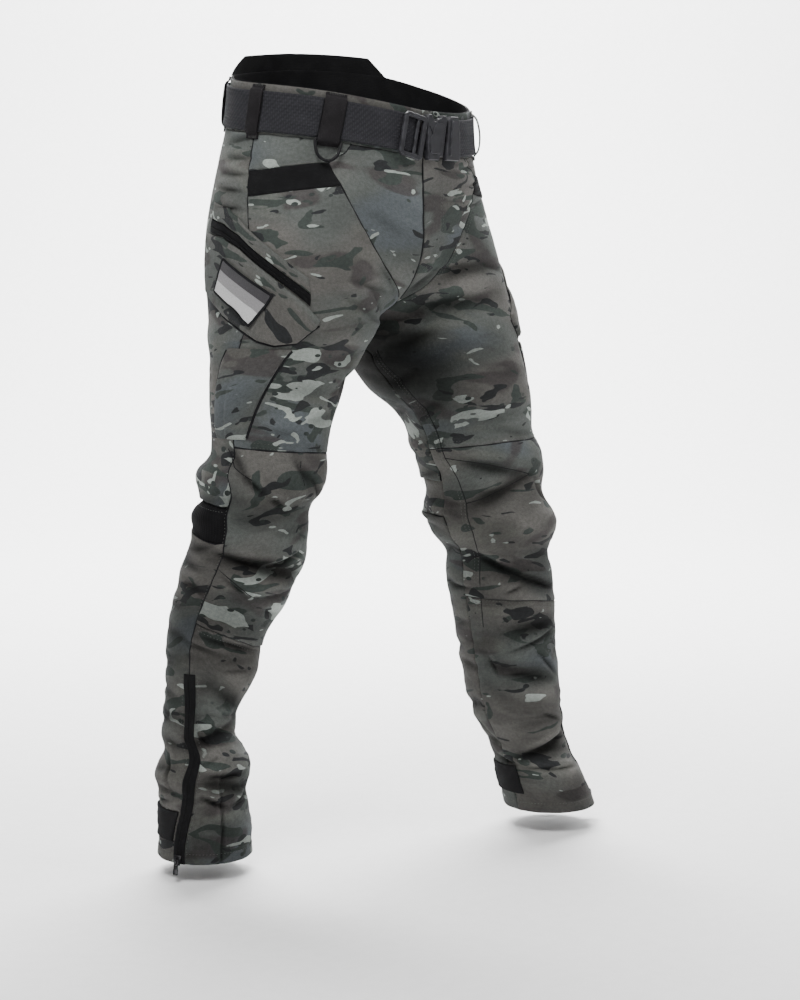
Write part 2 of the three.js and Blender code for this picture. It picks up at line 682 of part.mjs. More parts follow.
for (const leg of ["R", "L"]) {
  const low = PANEL_RISE;
  const high = PANEL_RISE + POCKET_WALL;
  addPatch(`cargo_welt_${leg}`, leg, between(cargoWelt), 12, 2, low, high);
  addPatch(`cargo_zip_${leg}`, leg, between(cargoZip), 12, 1, low, high - 0.4);
  addPatch(`cargo_front_${leg}`, leg, between(cargoFlap), 14, 6, low, high, FLAP_PUFF);
  const bag = (p, q) => {
    const z = lerp(cargoBag[0].z, cargoBag[cargoBag.length - 1].z, q);
    const front = read(cargoBag, "z", z, "front");
    const rear = read(cargoBag, "z", z, "rear");
    return [lerp(front, rear, p), z];
  };
  addPatch(`cargo_bag_${leg}`, leg, bag, 6, 8, low, high, BAG_PUFF);
  const hem = levels[leg][levels[leg].length - 1].side;
  const zipHalf = ZIP_WIDTH / 2 / (2 * Math.PI * 52);
  const zip = (p, q) => {
    const z = lerp(ZIP_TOP, hem, q);
    return [read(outseam, "z", z, "t") + lerp(-zipHalf, zipHalf, p), z];
  };
  addPatch(`ankle_zip_${leg}`, leg, zip, 2, 18, low, high - 0.4);
  const strapTop = levels[leg].find((level) => level.at === "tabTop").side;
  const strapLow = levels[leg].find((level) => level.at === "tabLow").side;
  const strap = (p, q) => {
    const z = lerp(strapTop, strapLow, q);
    return [lerp(read(outseam, "z", z, "t") + STRAP_START, STRAP_END, p), z];
  };
  addPatch(`hem_strap_${leg}`, leg, strap, 14, 3, low, high);
}

// Patch: its own sides, turned with the pocket
const patchTurn = (PATCH_SLOPE * Math.PI) / 180;
const perTurn = skin("R", PATCH_T + 0.02, PATCH_Z).distanceTo(skin("R", PATCH_T - 0.02, PATCH_Z)) / 0.04;
const patchPlace = (p, q) => {
  const a = (p - 0.5) * PATCH_WIDTH;
  const b = (0.5 - q) * PATCH_HEIGHT;
  const across = -a * Math.cos(patchTurn) - b * Math.sin(patchTurn);
  const up = -a * Math.sin(patchTurn) + b * Math.cos(patchTurn);
  return [PATCH_T + across / perTurn, PATCH_Z + up];
};
addPatch("patch", "R", patchPlace, 8, 5, 7.6, 9.2);

// Rings round the waist follow the columns of both sheets, from the wearer's right front over
// the back to the left front
const waistStops = [
  ...sheets.R[0].map((s) => ({ leg: "R", t: s.t })),
  ...sheets.L[0].slice(0, -1).map((s) => ({ leg: "L", t: s.t })).reverse(),
];

function addRing(name, stops, heights, low, high) {
  const outer = new Map();
  const inner = new Map();
  const triangles = [];
  stops.forEach((stop, i) => {
    heights.forEach((height, j) => {
      const z = height(stop);
      const p = skin(stop.leg, stop.t, z);
      const n = outward(stop.leg, stop.t, z, skin);
      if (stop.t < 0.002 || stop.t > 0.998) n.setX(0).normalize();
      const side = stop.leg === "R" ? -1 : 1;
      for (const [map, out] of [[outer, high], [inner, low]]) {
        const v = p.clone().addScaledVector(n, out);
        if (stop.t < 0.002) v.x = (side * SEAM) / 2;
        map.set(`${i}:${j}`, v);
      }
    });
  });
  for (let j = 0; j < heights.length - 1; j += 1) {
    for (let i = 0; i < stops.length - 1; i += 1) {
      const [a, b, c, d] = [`${i}:${j}`, `${i + 1}:${j}`, `${i + 1}:${j + 1}`, `${i}:${j + 1}`];
      triangles.push([a, b, d], [b, c, d]);
    }
  }
  addShell(name, outer, inner, triangles);
}

const level = (z) => () => z;
addRing("waistband", waistStops, [level(0), level(-27), level(-BAND_HEIGHT + SEAM / 2)], -BAND_WALL, 0);
const facingOut = -BAND_WALL - SEAM;
addRing("waist_facing", waistStops, [level(0), level(-27), level(-52)], facingOut - FACING_WALL, facingOut);
const riseStops = [];
for (const leg of ["R", "L"]) {
  const half = [];
  for (let i = 0; i <= 3; i += 1) {
    half.push({ leg, t: lerp(BACK_RISE_FROM, BACK_RISE_FULL[leg], i / 3) });
  }
  for (let i = 1; i <= 5; i += 1) {
    half.push({ leg, t: lerp(BACK_RISE_FULL[leg], 1, i / 5) });
  }
  riseStops.push(...(leg === "R" ? half : half.reverse().slice(1)));
}
const riseTop = ({ leg, t }) => {
  const u = (t - BACK_RISE_FROM) / (BACK_RISE_FULL[leg] - BACK_RISE_FROM);
  return SEAM + 1 + (BACK_RISE - 1) * clamp(u, 0, 1);
};
const riseMiddle = (stop) => lerp(riseTop(stop), SEAM, 0.5);
addRing("back_rise", riseStops, [riseTop, riseMiddle, level(SEAM)], -BAND_WALL, -0.2);

// Belt: open at the front, where the buckle joins its ends
const perMillimetre = 1 / skin("L", 0.02, -30).distanceTo(skin("R", 0.02, -30)) * 0.04;
const beltStops = waistStops.filter((stop) => {
  return stop.t > (stop.leg === "R" ? 8 : 42) * perMillimetre + 0.01;
});
beltStops.unshift({ leg: "R", t: 8 * perMillimetre });
beltStops.push({ leg: "L", t: 42 * perMillimetre });
const beltLow = BELT_TOP - BELT_WIDTH;
const beltHeights = [level(BELT_TOP), level(lerp(BELT_TOP, beltLow, 0.5)), level(beltLow)];
addRing("belt", beltStops, beltHeights, BELT_RISE, BELT_RISE + BELT_THICK);

// Belt loops: a strap over the belt, given by the height and the height above the skin of its
// under side and its upper side
const strapPath = [
  { z: -1, low: 0.4, zTop: -1, high: 2 },
  { z: -5.6, low: 0.4, zTop: -4.4, high: 2 },
  { z: -7.4, low: 4.6, zTop: -6, high: 6 },
  { z: LOOP_MIDDLE, low: 4.9, zTop: LOOP_MIDDLE, high: 6.5 },
  { z: -53.6, low: 4.6, zTop: -55, high: 6 },
  { z: -55.4, low: 0.4, zTop: -56.8, high: 2 },
  { z: -61, low: 0.4, zTop: -61, high: 2 },
];
const ringStrapPath = [
  ...strapPath.slice(0, 4),
  { z: -53.6, low: 5.3, zTop: -54, high: 6.9 },
  { z: -57.9, low: 5.3, zTop: -58.7, high: 6.9 },
  { z: -59.7, low: 0.4, zTop: -61.3, high: 2 },
  { z: -64.3, low: 0.4, zTop: -64.3, high: 2 },
];
const loopAt = (loop, z) => loop.t + (loop.lean * (LOOP_MIDDLE - Math.max(z, LEAN_END))) / 50;
for (const loop of loops) {
  const path = loop.name.includes("ring") ? ringStrapPath : strapPath;
  const span = skin(loop.leg, loop.t + 0.01, -30).distanceTo(skin(loop.leg, loop.t - 0.01, -30));
  const half = (loop.width / 2 / span) * 0.02;
  const outer = new Map();
  const inner = new Map();
  const triangles = [];
  path.forEach((step, j) => {
    const lift = step.z === LOOP_MIDDLE ? loop.lift : 0;
    for (let i = 0; i <= 2; i += 1) {
      for (const [map, z, out] of [[outer, step.zTop, step.high], [inner, step.z, step.low]]) {
        const t = loopAt(loop, z) + (i - 1) * half;
        const n = outward(loop.leg, t, z, skin);
        map.set(`${i}:${j}`, skin(loop.leg, t, z).addScaledVector(n, out + lift));
      }
    }
  });
  for (let j = 0; j < path.length - 1; j += 1) {
    for (let i = 0; i < 2; i += 1) {
      const [a, b, c, d] = [`${i}:${j}`, `${i + 1}:${j}`, `${i + 1}:${j + 1}`, `${i}:${j + 1}`];
      triangles.push([a, b, d], [b, c, d]);
    }
  }
  const turned = loop.leg === "R" ? triangles : triangles.map(([a, b, c]) => [a, c, b]);
  addShell(loop.name, outer, inner, turned);
}

// A frame on the skin: x along it, y up it and z out of it
function frameAt(leg, t, z, out) {
  const n = outward(leg, t, z, skin);
  const across = skin(leg, t + 0.01, z).sub(skin(leg, t - 0.01, z));
  if (leg === "R") across.negate();
  const along = across.addScaledVector(n, -across.dot(n)).normalize();
  const up = n.clone().cross(along);
  const origin = skin(leg, t, z).addScaledVector(n, out);
  return new THREE.Matrix4().makeBasis(along, up, n).setPosition(origin);
}

function addSolid(name, geometry, matrix) {
  const flat = geometry.index ? geometry.toNonIndexed() : geometry;
  flat.applyMatrix4(matrix);
  const array = Array.from(flat.getAttribute("position").array);
  addMesh(name, array, Array.from({ length: array.length / 3 }, (_, i) => i));
}

// A moulded plate with bevelled edges from an outline and its holes
function plateOf(outline, holes, depth, bevel) {
  const shape = new THREE.Shape(outline.map(([x, y]) => new THREE.Vector2(x, y)));
  for (const hole of holes) {
    shape.holes.push(new THREE.Path(hole.map(([x, y]) => new THREE.Vector2(x, y))));
  }
  const geometry = new THREE.ExtrudeGeometry(shape, {
    depth: depth - 2 * bevel,
    bevelEnabled: bevel > 0,
    bevelThickness: bevel,
    bevelSize: bevel,
    bevelOffset: -bevel,
    bevelSegments: 1,
    steps: 1,
    curveSegments: 6,
  });
  return geometry.translate(0, 0, bevel);
}

const box = (x0, y0, x1, y1) => [[x0, y0], [x1, y0], [x1, y1], [x0, y1]];

// An arch seen from its side: two feet and a bar between them, with a given width and height
function sideArch(from, to, width, height) {
  const wall = 1.1;
  const outline = [
    [from, 0], [from, height - 0.8], [from + 0.8, height], [to - 0.8, height], [to, height - 0.8],
    [to, 0], [to - wall, 0], [to - wall, height - wall], [from + wall, height - wall],
    [from + wall, 0],
  ];
  const geometry = plateOf(outline, [], width, 0).translate(0, 0, -width / 2);
  const turned = new THREE.Matrix4().makeBasis(
    new THREE.Vector3(0, 1, 0),
    new THREE.Vector3(0, 0, 1),
    new THREE.Vector3(1, 0, 0),
  );
  return geometry.applyMatrix4(turned);
}

// Joins solids with manifold-3d
function solidOf(geometry) {
  const plainSoup = geometry.index ? geometry.toNonIndexed() : geometry;
  const soup = new THREE.BufferGeometry();
  soup.setAttribute("position", plainSoup.getAttribute("position"));
  const merged = mergeVertices(soup, 1e-4);
  return new wasm.Manifold(
    new wasm.Mesh({
      numProp: 3,
      vertProperties: merged.getAttribute("position").array,
      triVerts: new Uint32Array(merged.index.array),
    }),
  );
}

function addManifold(name, solid, matrix) {
  const mesh = solid.getMesh();
  const geometry = new THREE.BufferGeometry();
  geometry.setAttribute("position", new THREE.Float32BufferAttribute(mesh.vertProperties, 3));
  geometry.setIndex(Array.from(mesh.triVerts));
  addSolid(name, geometry, matrix);
}

// Buckle
const overBelt = BELT_RISE + BELT_THICK + 0.6;
const atFront = (x, out) => {
  return frameAt(x < 0 ? "R" : "L", Math.abs(x) * perMillimetre, BUCKLE_Z, out);
};
const hf = FRAME_HEIGHT / 2;
const lf = FRAME_LENGTH / 2;
const frameOutline = [
  [-lf, -hf + 5], [-lf + 4, -hf], [lf, -hf], [lf, hf], [-lf + 4, hf], [-lf, hf - 5],
];
const frameHoles = [
  box(-lf + 6, -hf + 5, -3, hf - 5),
  box(3, -hf + 5, lf - 6, hf - 5),
];
let frame = solidOf(plateOf(frameOutline, [], 5, 0.8));
for (const hole of frameHoles) {
  frame = frame.subtract(solidOf(plateOf(hole, [], 9, 0).translate(0, 0, -2)));
}
addManifold("buckle_frame", frame, atFront(FRAME_X, overBelt));
const hp = PLATE_HEIGHT / 2;
const lp = PLATE_LENGTH / 2;
const plateOutline = [
  [-lp, -hp], [lp - 5, -hp], [lp - 5, -hp + 4], [lp - 2, -hp + 4], [lp + 2, hp - 4],
  [lp - 2, hp - 4], [lp - 2, hp], [-lp, hp],
];
addSolid("buckle_plate", plateOf(plateOutline, [], 9, 1.2), atFront(PLATE_X, BELT_RISE + 0.6));
const he = END_HEIGHT / 2;
const le = END_LENGTH / 2;
const endOutline = [
  [-le + 1, -he + 4], [-le + 1, -he], [le - 3, -he], [le, -he + 4], [le, he - 4], [le - 3, he],
  [-le + 3, he], [-le + 4.5, he - 4],
];
addSolid("buckle_end", plateOf(endOutline, [], 6.5, 1.2), atFront(END_X, overBelt));

// Ring: a straight bar in the loop and a rounded bow below it
const ringPoints = [];
for (let i = 0; i <= 14; i += 1) {
  const a = (Math.PI * i) / 14;
  ringPoints.push(new THREE.Vector3(-(RING_WIDTH / 2) * Math.cos(a), -RING_DROP * Math.sin(a) ** 0.8, 0));
}
for (let i = 1; i < 6; i += 1) {
  ringPoints.push(new THREE.Vector3(lerp(RING_WIDTH / 2, -RING_WIDTH / 2, i / 6), 0, 0));
}
const ringCurve = new THREE.CatmullRomCurve3(ringPoints, true);
const ringTube = new THREE.TubeGeometry(ringCurve, 44, RING_WIRE / 2, 8, true);
const ringFrame = frameAt("R", loopAt(loops[0], RING_Z), RING_Z, RING_OUT);
const lean = new THREE.Matrix4().makeRotationX((-RING_LEAN * Math.PI) / 180);
addSolid("d_ring", ringTube, ringFrame.clone().multiply(lean));

// Ankle zips: a slider at the hem with a bridge over its face, and a pull that hangs on the bridge
for (const leg of ["R", "L"]) {
  const hem = levels[leg][levels[leg].length - 1].side;
  const z = hem + SLIDER_LENGTH / 2 - 1;
  const base = frameAt(leg, read(outseam, "z", z, "t"), z, PANEL_RISE + POCKET_WALL + 0.3);
  const face = 2.6;
  const ws = SLIDER_WIDTH / 2;
  const ls = SLIDER_LENGTH / 2;
  const body = solidOf(
    plateOf([[-ws, ls], [-ws + 1, -ls], [ws - 1, -ls], [ws, ls]], [], face, 0.5),
  );
  const bridge = solidOf(sideArch(-3.6, 3.6, 1.5, 3.4).translate(0, 0, face - 0.2));
  addManifold(`ankle_slider_${leg}`, body.add(bridge), base);
  const hole = box(-1.5, -5.6, 1.5, -0.75);
  const pullOutline = [
    [-2.3, 0.75], [-2.6, -PULL_LENGTH + 8], [-PULL_WIDTH / 2, -PULL_LENGTH + 6],
    [-PULL_WIDTH / 2, -PULL_LENGTH + 1], [-PULL_WIDTH / 2 + 1, -PULL_LENGTH],
    [PULL_WIDTH / 2 - 1, -PULL_LENGTH], [PULL_WIDTH / 2, -PULL_LENGTH + 1],
    [PULL_WIDTH / 2, -PULL_LENGTH + 6], [2.6, -PULL_LENGTH + 8], [2.3, 0.75],
  ];
  const pull = plateOf(pullOutline, [hole], 1.2, 0).translate(0, 0, face + 0.45);
  addSolid(`ankle_pull_${leg}`, pull, base);
}

export default group;
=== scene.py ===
import math

import bpy
import numpy as np
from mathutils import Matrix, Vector


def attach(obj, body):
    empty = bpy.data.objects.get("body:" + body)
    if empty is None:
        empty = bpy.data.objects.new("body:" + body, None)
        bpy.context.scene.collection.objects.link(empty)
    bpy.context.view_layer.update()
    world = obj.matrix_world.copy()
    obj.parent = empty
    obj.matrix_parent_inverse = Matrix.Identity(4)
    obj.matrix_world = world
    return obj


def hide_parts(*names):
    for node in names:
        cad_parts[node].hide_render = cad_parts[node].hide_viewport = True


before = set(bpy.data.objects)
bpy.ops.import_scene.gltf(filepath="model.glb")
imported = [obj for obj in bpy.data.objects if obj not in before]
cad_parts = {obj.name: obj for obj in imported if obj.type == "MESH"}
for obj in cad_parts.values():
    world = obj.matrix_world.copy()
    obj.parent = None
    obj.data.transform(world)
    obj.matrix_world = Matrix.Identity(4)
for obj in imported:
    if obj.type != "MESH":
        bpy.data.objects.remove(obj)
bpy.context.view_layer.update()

# Cloth thickness, gap at a seam, height of the turned hem, and the spacing of a panel's points
CLOTH = 1.1
SEAM = 0.3
HEM_TURN = 15
STEP = 2.7

# Crotch, waist and belt
CROTCH_Z = -262.0
CROTCH_Y = 8.0
WAIST_TILT = 0.18
WAIST_TWIST = 6.0
BAND_HEIGHT = 55.0
BELT_TOP = -8.0
BELT_LOW = -53.0
BELT_RISE = 1.2
BELT_THICK = 2.6
BELT_FACE = BELT_RISE + BELT_THICK

# Hips: height, half the width, depth in front and behind
HIPS = np.array([
    (60, 161, 113, 116), (0, 161, 114, 118), (-45, 164, 115, 124), (-90, 174, 116, 134),
    (-135, 182, 117, 143), (-180, 188, 118, 148), (-225, 190, 118, 146), (-262, 190, 118, 140),
], float)

# Legs: height, middle, half the width and half the depth
LEGS = {
    "R": np.array([
        (-150, -88, 0, 88, 140), (-205, -88, 0, 88, 134), (-242, -89, 0, 89, 124),
        (-262, -92, 1, 92, 112), (-280, -98, 3, 93, 102), (-301, -105, 5, 89, 88),
        (-352, -117, 12, 76, 75), (-411, -124, 14, 68, 67), (-434, -129, 17, 73, 74),
        (-457, -132, 18, 71, 71), (-481, -141, 25, 65, 66), (-504, -143, 25, 67, 67),
        (-551, -153, 32, 70, 70), (-598, -169, 43, 63, 63), (-634, -179, 50, 56, 56),
        (-669, -183, 51, 53, 53), (-705, -192, 58, 45, 45), (-740, -197, 60, 42, 42),
        (-763, -193, 54, 46, 46), (-787, -197, 55, 54, 55), (-811, -196, 53, 51, 51),
        (-847, -196, 50, 53, 54), (-884, -198, 49, 55, 56),
    ], float),
    "L": np.array([
        (-150, 100, -10, 100, 110), (-205, 103, -16, 103, 106), (-242, 106, -20, 106, 104),
        (-262, 108, -21, 108, 104), (-280, 113, -22, 106, 106), (-301, 120, -23, 99, 108),
        (-326, 128, -25, 94, 110), (-351, 136, -31, 90, 104), (-375, 148, -40, 85, 85),
        (-400, 154, -45, 78, 78), (-425, 161, -50, 80, 81), (-450, 168, -54, 76, 77),
        (-475, 171, -55, 72, 72), (-501, 175, -57, 79, 80), (-526, 181, -61, 75, 76),
        (-551, 186, -63, 64, 64), (-577, 189, -64, 66, 67), (-641, 197, -67, 63, 63),
        (-718, 206, -71, 58, 59), (-757, 213, -74, 55, 55), (-797, 224, -82, 48, 48),
        (-849, 241, -94, 55, 55), (-878, 248, -99, 57, 58),
    ], float),
}
WAIST_RISE = np.array([(0, 0), (0.25, 5), (0.5, 8), (0.6, 10), (0.7, 14), (1, 16)], float)
OUTSEAM = np.array([
    (60, 0.468), (-400, 0.468), (-505, 0.432), (-600, 0.445), (-669, 0.44), (-705, 0.41),
    (-770, 0.398), (-810, 0.415), (-860, 0.453), (-890, 0.45),
], float)

# The slanted seam beside the front pocket: row and t
SLANT = np.array([
    (0, 0.192), (1, 0.205), (2, 0.246), (3, 0.233), (4, 0.217), (5, 0.198), (6, 0.175),
    (7, 0.142), (8, 0.105), (9, 0.06), (10, 0),
], float)

# Seams round the leg: first row, and heights at t 0, 0.22, 0.46, 0.75 and 1
LEVEL_T = (0, 0.22, 0.46, 0.75, 1)
LEVELS = {
    "R": [
        (0, -55, -55, -55, -55, -55), (2, -84, -78, -95, -97, -97),
        (4, -108, -106, -121, -124, -124), (11, -262, -262, -262, -262, -262),
        (19, -419, -411, -403, -408, -419), (22, -458, -455, -471, -458, -458),
        (25, -503, -500, -514, -494, -503), (32, -648, -634, -602, -618, -648),
        (43, -824, -824, -824, -824, -824), (45, -860, -860, -860, -860, -860),
        (47, -884, -884, -884, -884, -884),
    ],
    "L": [
        (0, -55, -55, -55, -55, -55), (2, -84, -78, -95, -97, -97),
        (4, -108, -106, -121, -124, -124), (11, -262, -262, -262, -262, -262),
        (19, -419, -409, -407, -410, -419), (22, -458, -450, -455, -458, -458),
        (25, -503, -500, -502, -500, -503), (32, -602, -606, -620, -615, -602),
        (43, -820, -820, -820, -820, -820), (45, -855, -855, -855, -855, -855),
        (47, -878, -878, -878, -878, -878),
    ],
}
HEM = {"R": -884.0, "L": -878.0}
ZIP_TOP = -664

# Rows at the seams: waist, pocket band, knee panel and its bend, shin and hem
WAIST_ROW, BAND_ROW, POCKET_ROW = 0, 2, 4
KNEE_ROW, BEND_ROW, CALF_ROW, SHIN_ROW, HEM_ROW = 19, 22, 25, 32, 47
SLANT_END = 9.96

# The largest folds: t, z, slope, half length in t, half width, depth
FOLDS = {
    "R": [
        (0.44, -422, 380, 0.07, 9, -4), (0.26, -434, 500, 0.06, 9, -4),
        (0.28, -542, 110, 0.2, 12, -8), (0.3, -518, 60, 0.2, 14, 5),
        (0.62, -440, 30, 0.2, 14, 4), (0.62, -466, 0, 0.22, 11, -5), (0.62, -490, 0, 0.2, 12, 3),
        (0.2, -585, 90, 0.16, 14, 4), (0.24, -698, 160, 0.2, 13, -5),
        (0.28, -736, -120, 0.2, 11, -4), (0.2, -768, 60, 0.24, 12, 4),
        (0.24, -798, 80, 0.22, 10, -5), (0.7, -560, 90, 0.16, 14, -4),
        (0.72, -700, -120, 0.16, 14, -4), (0.7, -790, 60, 0.18, 12, -4),
        (0.72, -290, 120, 0.14, 18, -5), (0.12, -330, -300, 0.09, 16, -5),
    ],
    "L": [
        (0.2, -203, 60, 0.17, 13, -5), (0.19, -240, 50, 0.16, 13, -5),
        (0.2, -222, 60, 0.16, 10, 3), (0.15, -441, -100, 0.14, 12, -6),
        (0.17, -469, 190, 0.13, 12, -6), (0.28, -510, 0, 0.18, 18, 5),
        (0.22, -582, -130, 0.2, 13, -6), (0.22, -640, 60, 0.16, 12, -4),
        (0.18, -700, -90, 0.18, 12, -4), (0.24, -722, 30, 0.16, 12, 3),
        (0.2, -800, 60, 0.2, 11, -4), (0.24, -826, -40, 0.2, 10, 3),
        (0.64, -446, -30, 0.2, 14, 6), (0.64, -476, 0, 0.22, 12, -5),
        (0.7, -560, -90, 0.16, 14, -4), (0.72, -690, 120, 0.16, 14, -4),
        (0.72, -300, -120, 0.14, 18, -5), (0.93, -380, 200, 0.08, 14, -4),
    ],
}

# Smaller creases, the same columns
CREASES = {
    "R": [
        (0.1, -150, 260, 0.08, 10, -1.4), (0.08, -215, 420, 0.06, 9, -2.0),
        (0.14, -240, 300, 0.07, 10, -1.8), (0.24, -262, 120, 0.12, 14, -1.6),
        (0.2, -300, -60, 0.12, 12, -2.0), (0.16, -330, -200, 0.08, 10, -2.2),
        (0.3, -340, 60, 0.12, 16, -1.4), (0.22, -372, -80, 0.12, 12, -1.8),
        (0.33, -388, 50, 0.09, 9, -1.6), (0.52, -690, 80, 0.1, 9, -2.4),
        (0.56, -722, -60, 0.12, 9, -3.0), (0.5, -748, 60, 0.1, 9, -2.6),
        (0.55, -778, -40, 0.12, 8, -2.8), (0.5, -802, 60, 0.1, 7, -2.6),
        (0.52, -520, -60, 0.08, 7, -2.8), (0.55, -540, 80, 0.1, 8, -3.0),
        (0.5, -562, 120, 0.08, 7, -2.6), (0.56, -590, -60, 0.1, 9, -2.4),
        (0.52, -620, 60, 0.1, 9, -2.2), (0.57, -655, -80, 0.1, 9, -2.4),
        (0.85, -180, -120, 0.1, 10, -2.4), (0.9, -222, -260, 0.08, 9, -2.8),
        (0.8, -235, -100, 0.12, 11, -2.4), (0.95, -275, -300, 0.06, 8, -2.6),
        (0.7, -345, 90, 0.1, 12, -2.0), (0.82, -372, -60, 0.1, 10, -2.0),
        (0.72, -420, 60, 0.12, 9, -2.6), (0.85, -438, -60, 0.1, 9, -2.4),
        (0.96, -430, 100, 0.08, 8, -2.0), (0.04, -440, 80, 0.07, 8, -2.0),
        (0.9, -520, 80, 0.1, 8, -2.6), (0.75, -540, -60, 0.12, 8, -2.8),
        (0.95, -580, -80, 0.1, 9, -2.2), (0.05, -600, 60, 0.08, 9, -2.0),
        (0.8, -610, 60, 0.1, 9, -2.0), (0.9, -680, 60, 0.1, 8, -2.4),
        (0.02, -700, -60, 0.1, 8, -2.6), (0.75, -735, 60, 0.12, 8, -2.8),
        (0.9, -752, -80, 0.1, 8, -2.8), (0.05, -770, 60, 0.1, 7, -2.6),
        (0.82, -800, -60, 0.1, 7, -2.4), (0.98, -812, 60, 0.08, 7, -2.4),
    ],
    "L": [
        (0.1, -285, 180, 0.08, 9, -2.4), (0.02, -300, 300, 0.05, 8, -3.0),
        (0.04, -330, 260, 0.05, 8, -2.6), (0.06, -365, 200, 0.06, 8, -2.0),
        (0.3, -330, -60, 0.1, 14, -1.4), (0.2, -380, 80, 0.1, 12, -1.6),
        (0.25, -398, -60, 0.12, 9, -1.8), (0.94, -640, 80, 0.08, 8, -2.4),
        (0.96, -690, -60, 0.09, 8, -2.6), (0.93, -745, 60, 0.09, 8, -2.8),
        (0.97, -790, -60, 0.08, 7, -2.6), (0.96, -450, 90, 0.07, 8, -2.4),
        (0.93, -500, -80, 0.08, 8, -2.6), (0.95, -545, 70, 0.08, 8, -2.2),
        (0.94, -590, -70, 0.08, 8, -2.2),
    ],
}
CREASES["L"] += [
    (t + 0.01, z + 7, -0.8 * slope, length, width, 0.9 * depth)
    for t, z, slope, length, width, depth in CREASES["R"] if 0.39 < t < 0.92
]

# Sharp creases that face the front, the same columns
MARKS = {
    "R": [
        (0.391, -445, 334, 0.054, 3.5, -4), (0.318, -465, 169, 0.036, 3.5, -4),
        (0.201, -450, 340, 0.083, 3.5, -3.5), (0.376, -532, 108, 0.105, 4.3, -4.5),
        (0.244, -532, -198, 0.06, 4.3, -5), (0.37, -561, 267, 0.065, 2.3, -2.5),
        (0.231, -573, -21, 0.122, 3.9, -3.5), (0.232, -593, 163, 0.057, 3.1, -2.5),
        (0.313, -630, 97, 0.154, 3.9, -3.5), (0.404, -634, 119, 0.107, 3.1, -2.5),
        (0.334, -744, 224, 0.032, 3.1, -3), (0.33, -766, -101, 0.051, 3.1, -2.5),
        (0.267, -783, 9, 0.118, 3.9, -4.5), (0.322, -814, 130, 0.067, 3.9, -4.5),
        (0.19, -816, -58, 0.097, 3.9, -4.5), (0.301, -849, -4473, 0.02, 3.1, -3),
        (0.503, -778, 748, 0.036, 3.9, -3), (0.53, -815, -41, 0.087, 3.9, -3),
        (0.267, -662, 21, 0.097, 3.1, -2), (0.245, -716, 41, 0.151, 3.1, -2.5),
        (0.53, -63, -88, 0.087, 4, -3.4), (0.528, -82, -6, 0.09, 4, -3.4),
        (0.533, -99, 6, 0.09, 4, -3.4), (0.539, -115, 30, 0.086, 4, -3.4),
        (0.534, -134, 22, 0.071, 4, -3.4), (0.17, -222, 62, 0.148, 4.7, -3),
        (0.238, -245, 185, 0.119, 8, -2.5),
    ],
    "L": [
        (0.124, -564, -175, 0.1, 4.3, -5), (0.268, -587, -114, 0.117, 4.3, -5),
        (0.099, -555, -222, 0.071, 3.5, -3), (0.157, -593, 139, 0.04, 3.1, -3),
        (0.218, -659, 127, 0.142, 3.5, -3.5), (0.064, -689, -709, 0.02, 3.1, -3),
        (0.267, -688, -329, 0.07, 3.5, -3.5), (0.143, -701, 13, 0.078, 3.1, -2.5),
        (0.211, -794, 99, 0.191, 4.7, -6), (0.2, -823, -21, 0.191, 3.5, -4),
        (0.002, -815, -99, 0.062, 3.5, -4), (0.276, -759, -127, 0.081, 3.1, -2.5),
        (-0.014, -592, 0, 0.069, 3.1, -2.5), (-0.06, -771, -380, 0.061, 3.5, -2.5),
        (0.307, -471, -494, 0.067, 3.9, -2.5), (0.227, -120, 74, 0.131, 3.1, -2.4),
        (0.236, -92, 35, 0.101, 3.1, -2.4), (0.205, -68, 33, 0.123, 3.1, -2.0),
        (0.129, -201, 38, 0.16, 4.5, -1.8), (0.316, -202, -108, 0.071, 4.5, -1.8),
        (0.035, -215, 313, 0.046, 7, -3),
    ],
}

# How much of its table's depth each kind of fold gets
FOLD_GAIN = 1.1
CREASE_GAIN = 1.3
MARK_GAIN = 1.25

# The black cloth behind a knee ends at this t, before the inner seam
BEND_INNER = 0.8

# Cargo pocket: t with an upper and a lower edge, and the bag with its front and rear edge
WELT = np.array([
    (0.595, -128, -144), (0.54, -133, -150), (0.495, -144, -163), (0.438, -173, -192),
    (0.37, -211, -228),
], float)
ZIP = np.array([
    (0.595, -145, -159), (0.54, -151, -165), (0.495, -164, -178), (0.438, -193, -207),
    (0.37, -229, -242),
], float)
FLAP = np.array([
    (0.61, -160, -228), (0.54, -166, -254), (0.495, -179, -266), (0.438, -208, -281),
    (0.4, -229, -286), (0.36, -250, -283), (0.342, -257, -266),
], float)
BAG = np.array([
    (-290, 0.36, 0.5), (-315, 0.377, 0.522), (-377, 0.42, 0.543), (-394, 0.432, 0.535),
], float)

# Patch on the right pocket: its middle, slope and size, its height over the skin and thickness
PATCH_T = 0.492
PATCH_Z = -228.0
PATCH_SLOPE = math.radians(30)
PATCH_SIZE = (85.0, 45.0)
PATCH_HIGH = 9.0
PATCH_THICK = 1.2
BORDER_HIGH = 8.6

# Belt loops: name, leg, t at the middle, width, lean over 50 mm and how far it stands off
LOOPS = [
    ("loop_ring_R", "R", 0.243, 24, 0.019, 0.0), ("loop_side_R", "R", 0.468, 17, 0.016, 0.0),
    ("loop_rear_R", "R", 0.72, 17, 0.0, 1.5), ("loop_front_L", "L", 0.29, 17, 0.0, 5.0),
    ("loop_side_L", "L", 0.49, 17, 0.0, 1.0), ("loop_rear_L", "L", 0.72, 17, 0.0, 0.0),
]


def ease(a, b, v):
    u = np.clip((np.asarray(v, float) - a) / (b - a), 0, 1)
    return u * u * (3 - 2 * u)


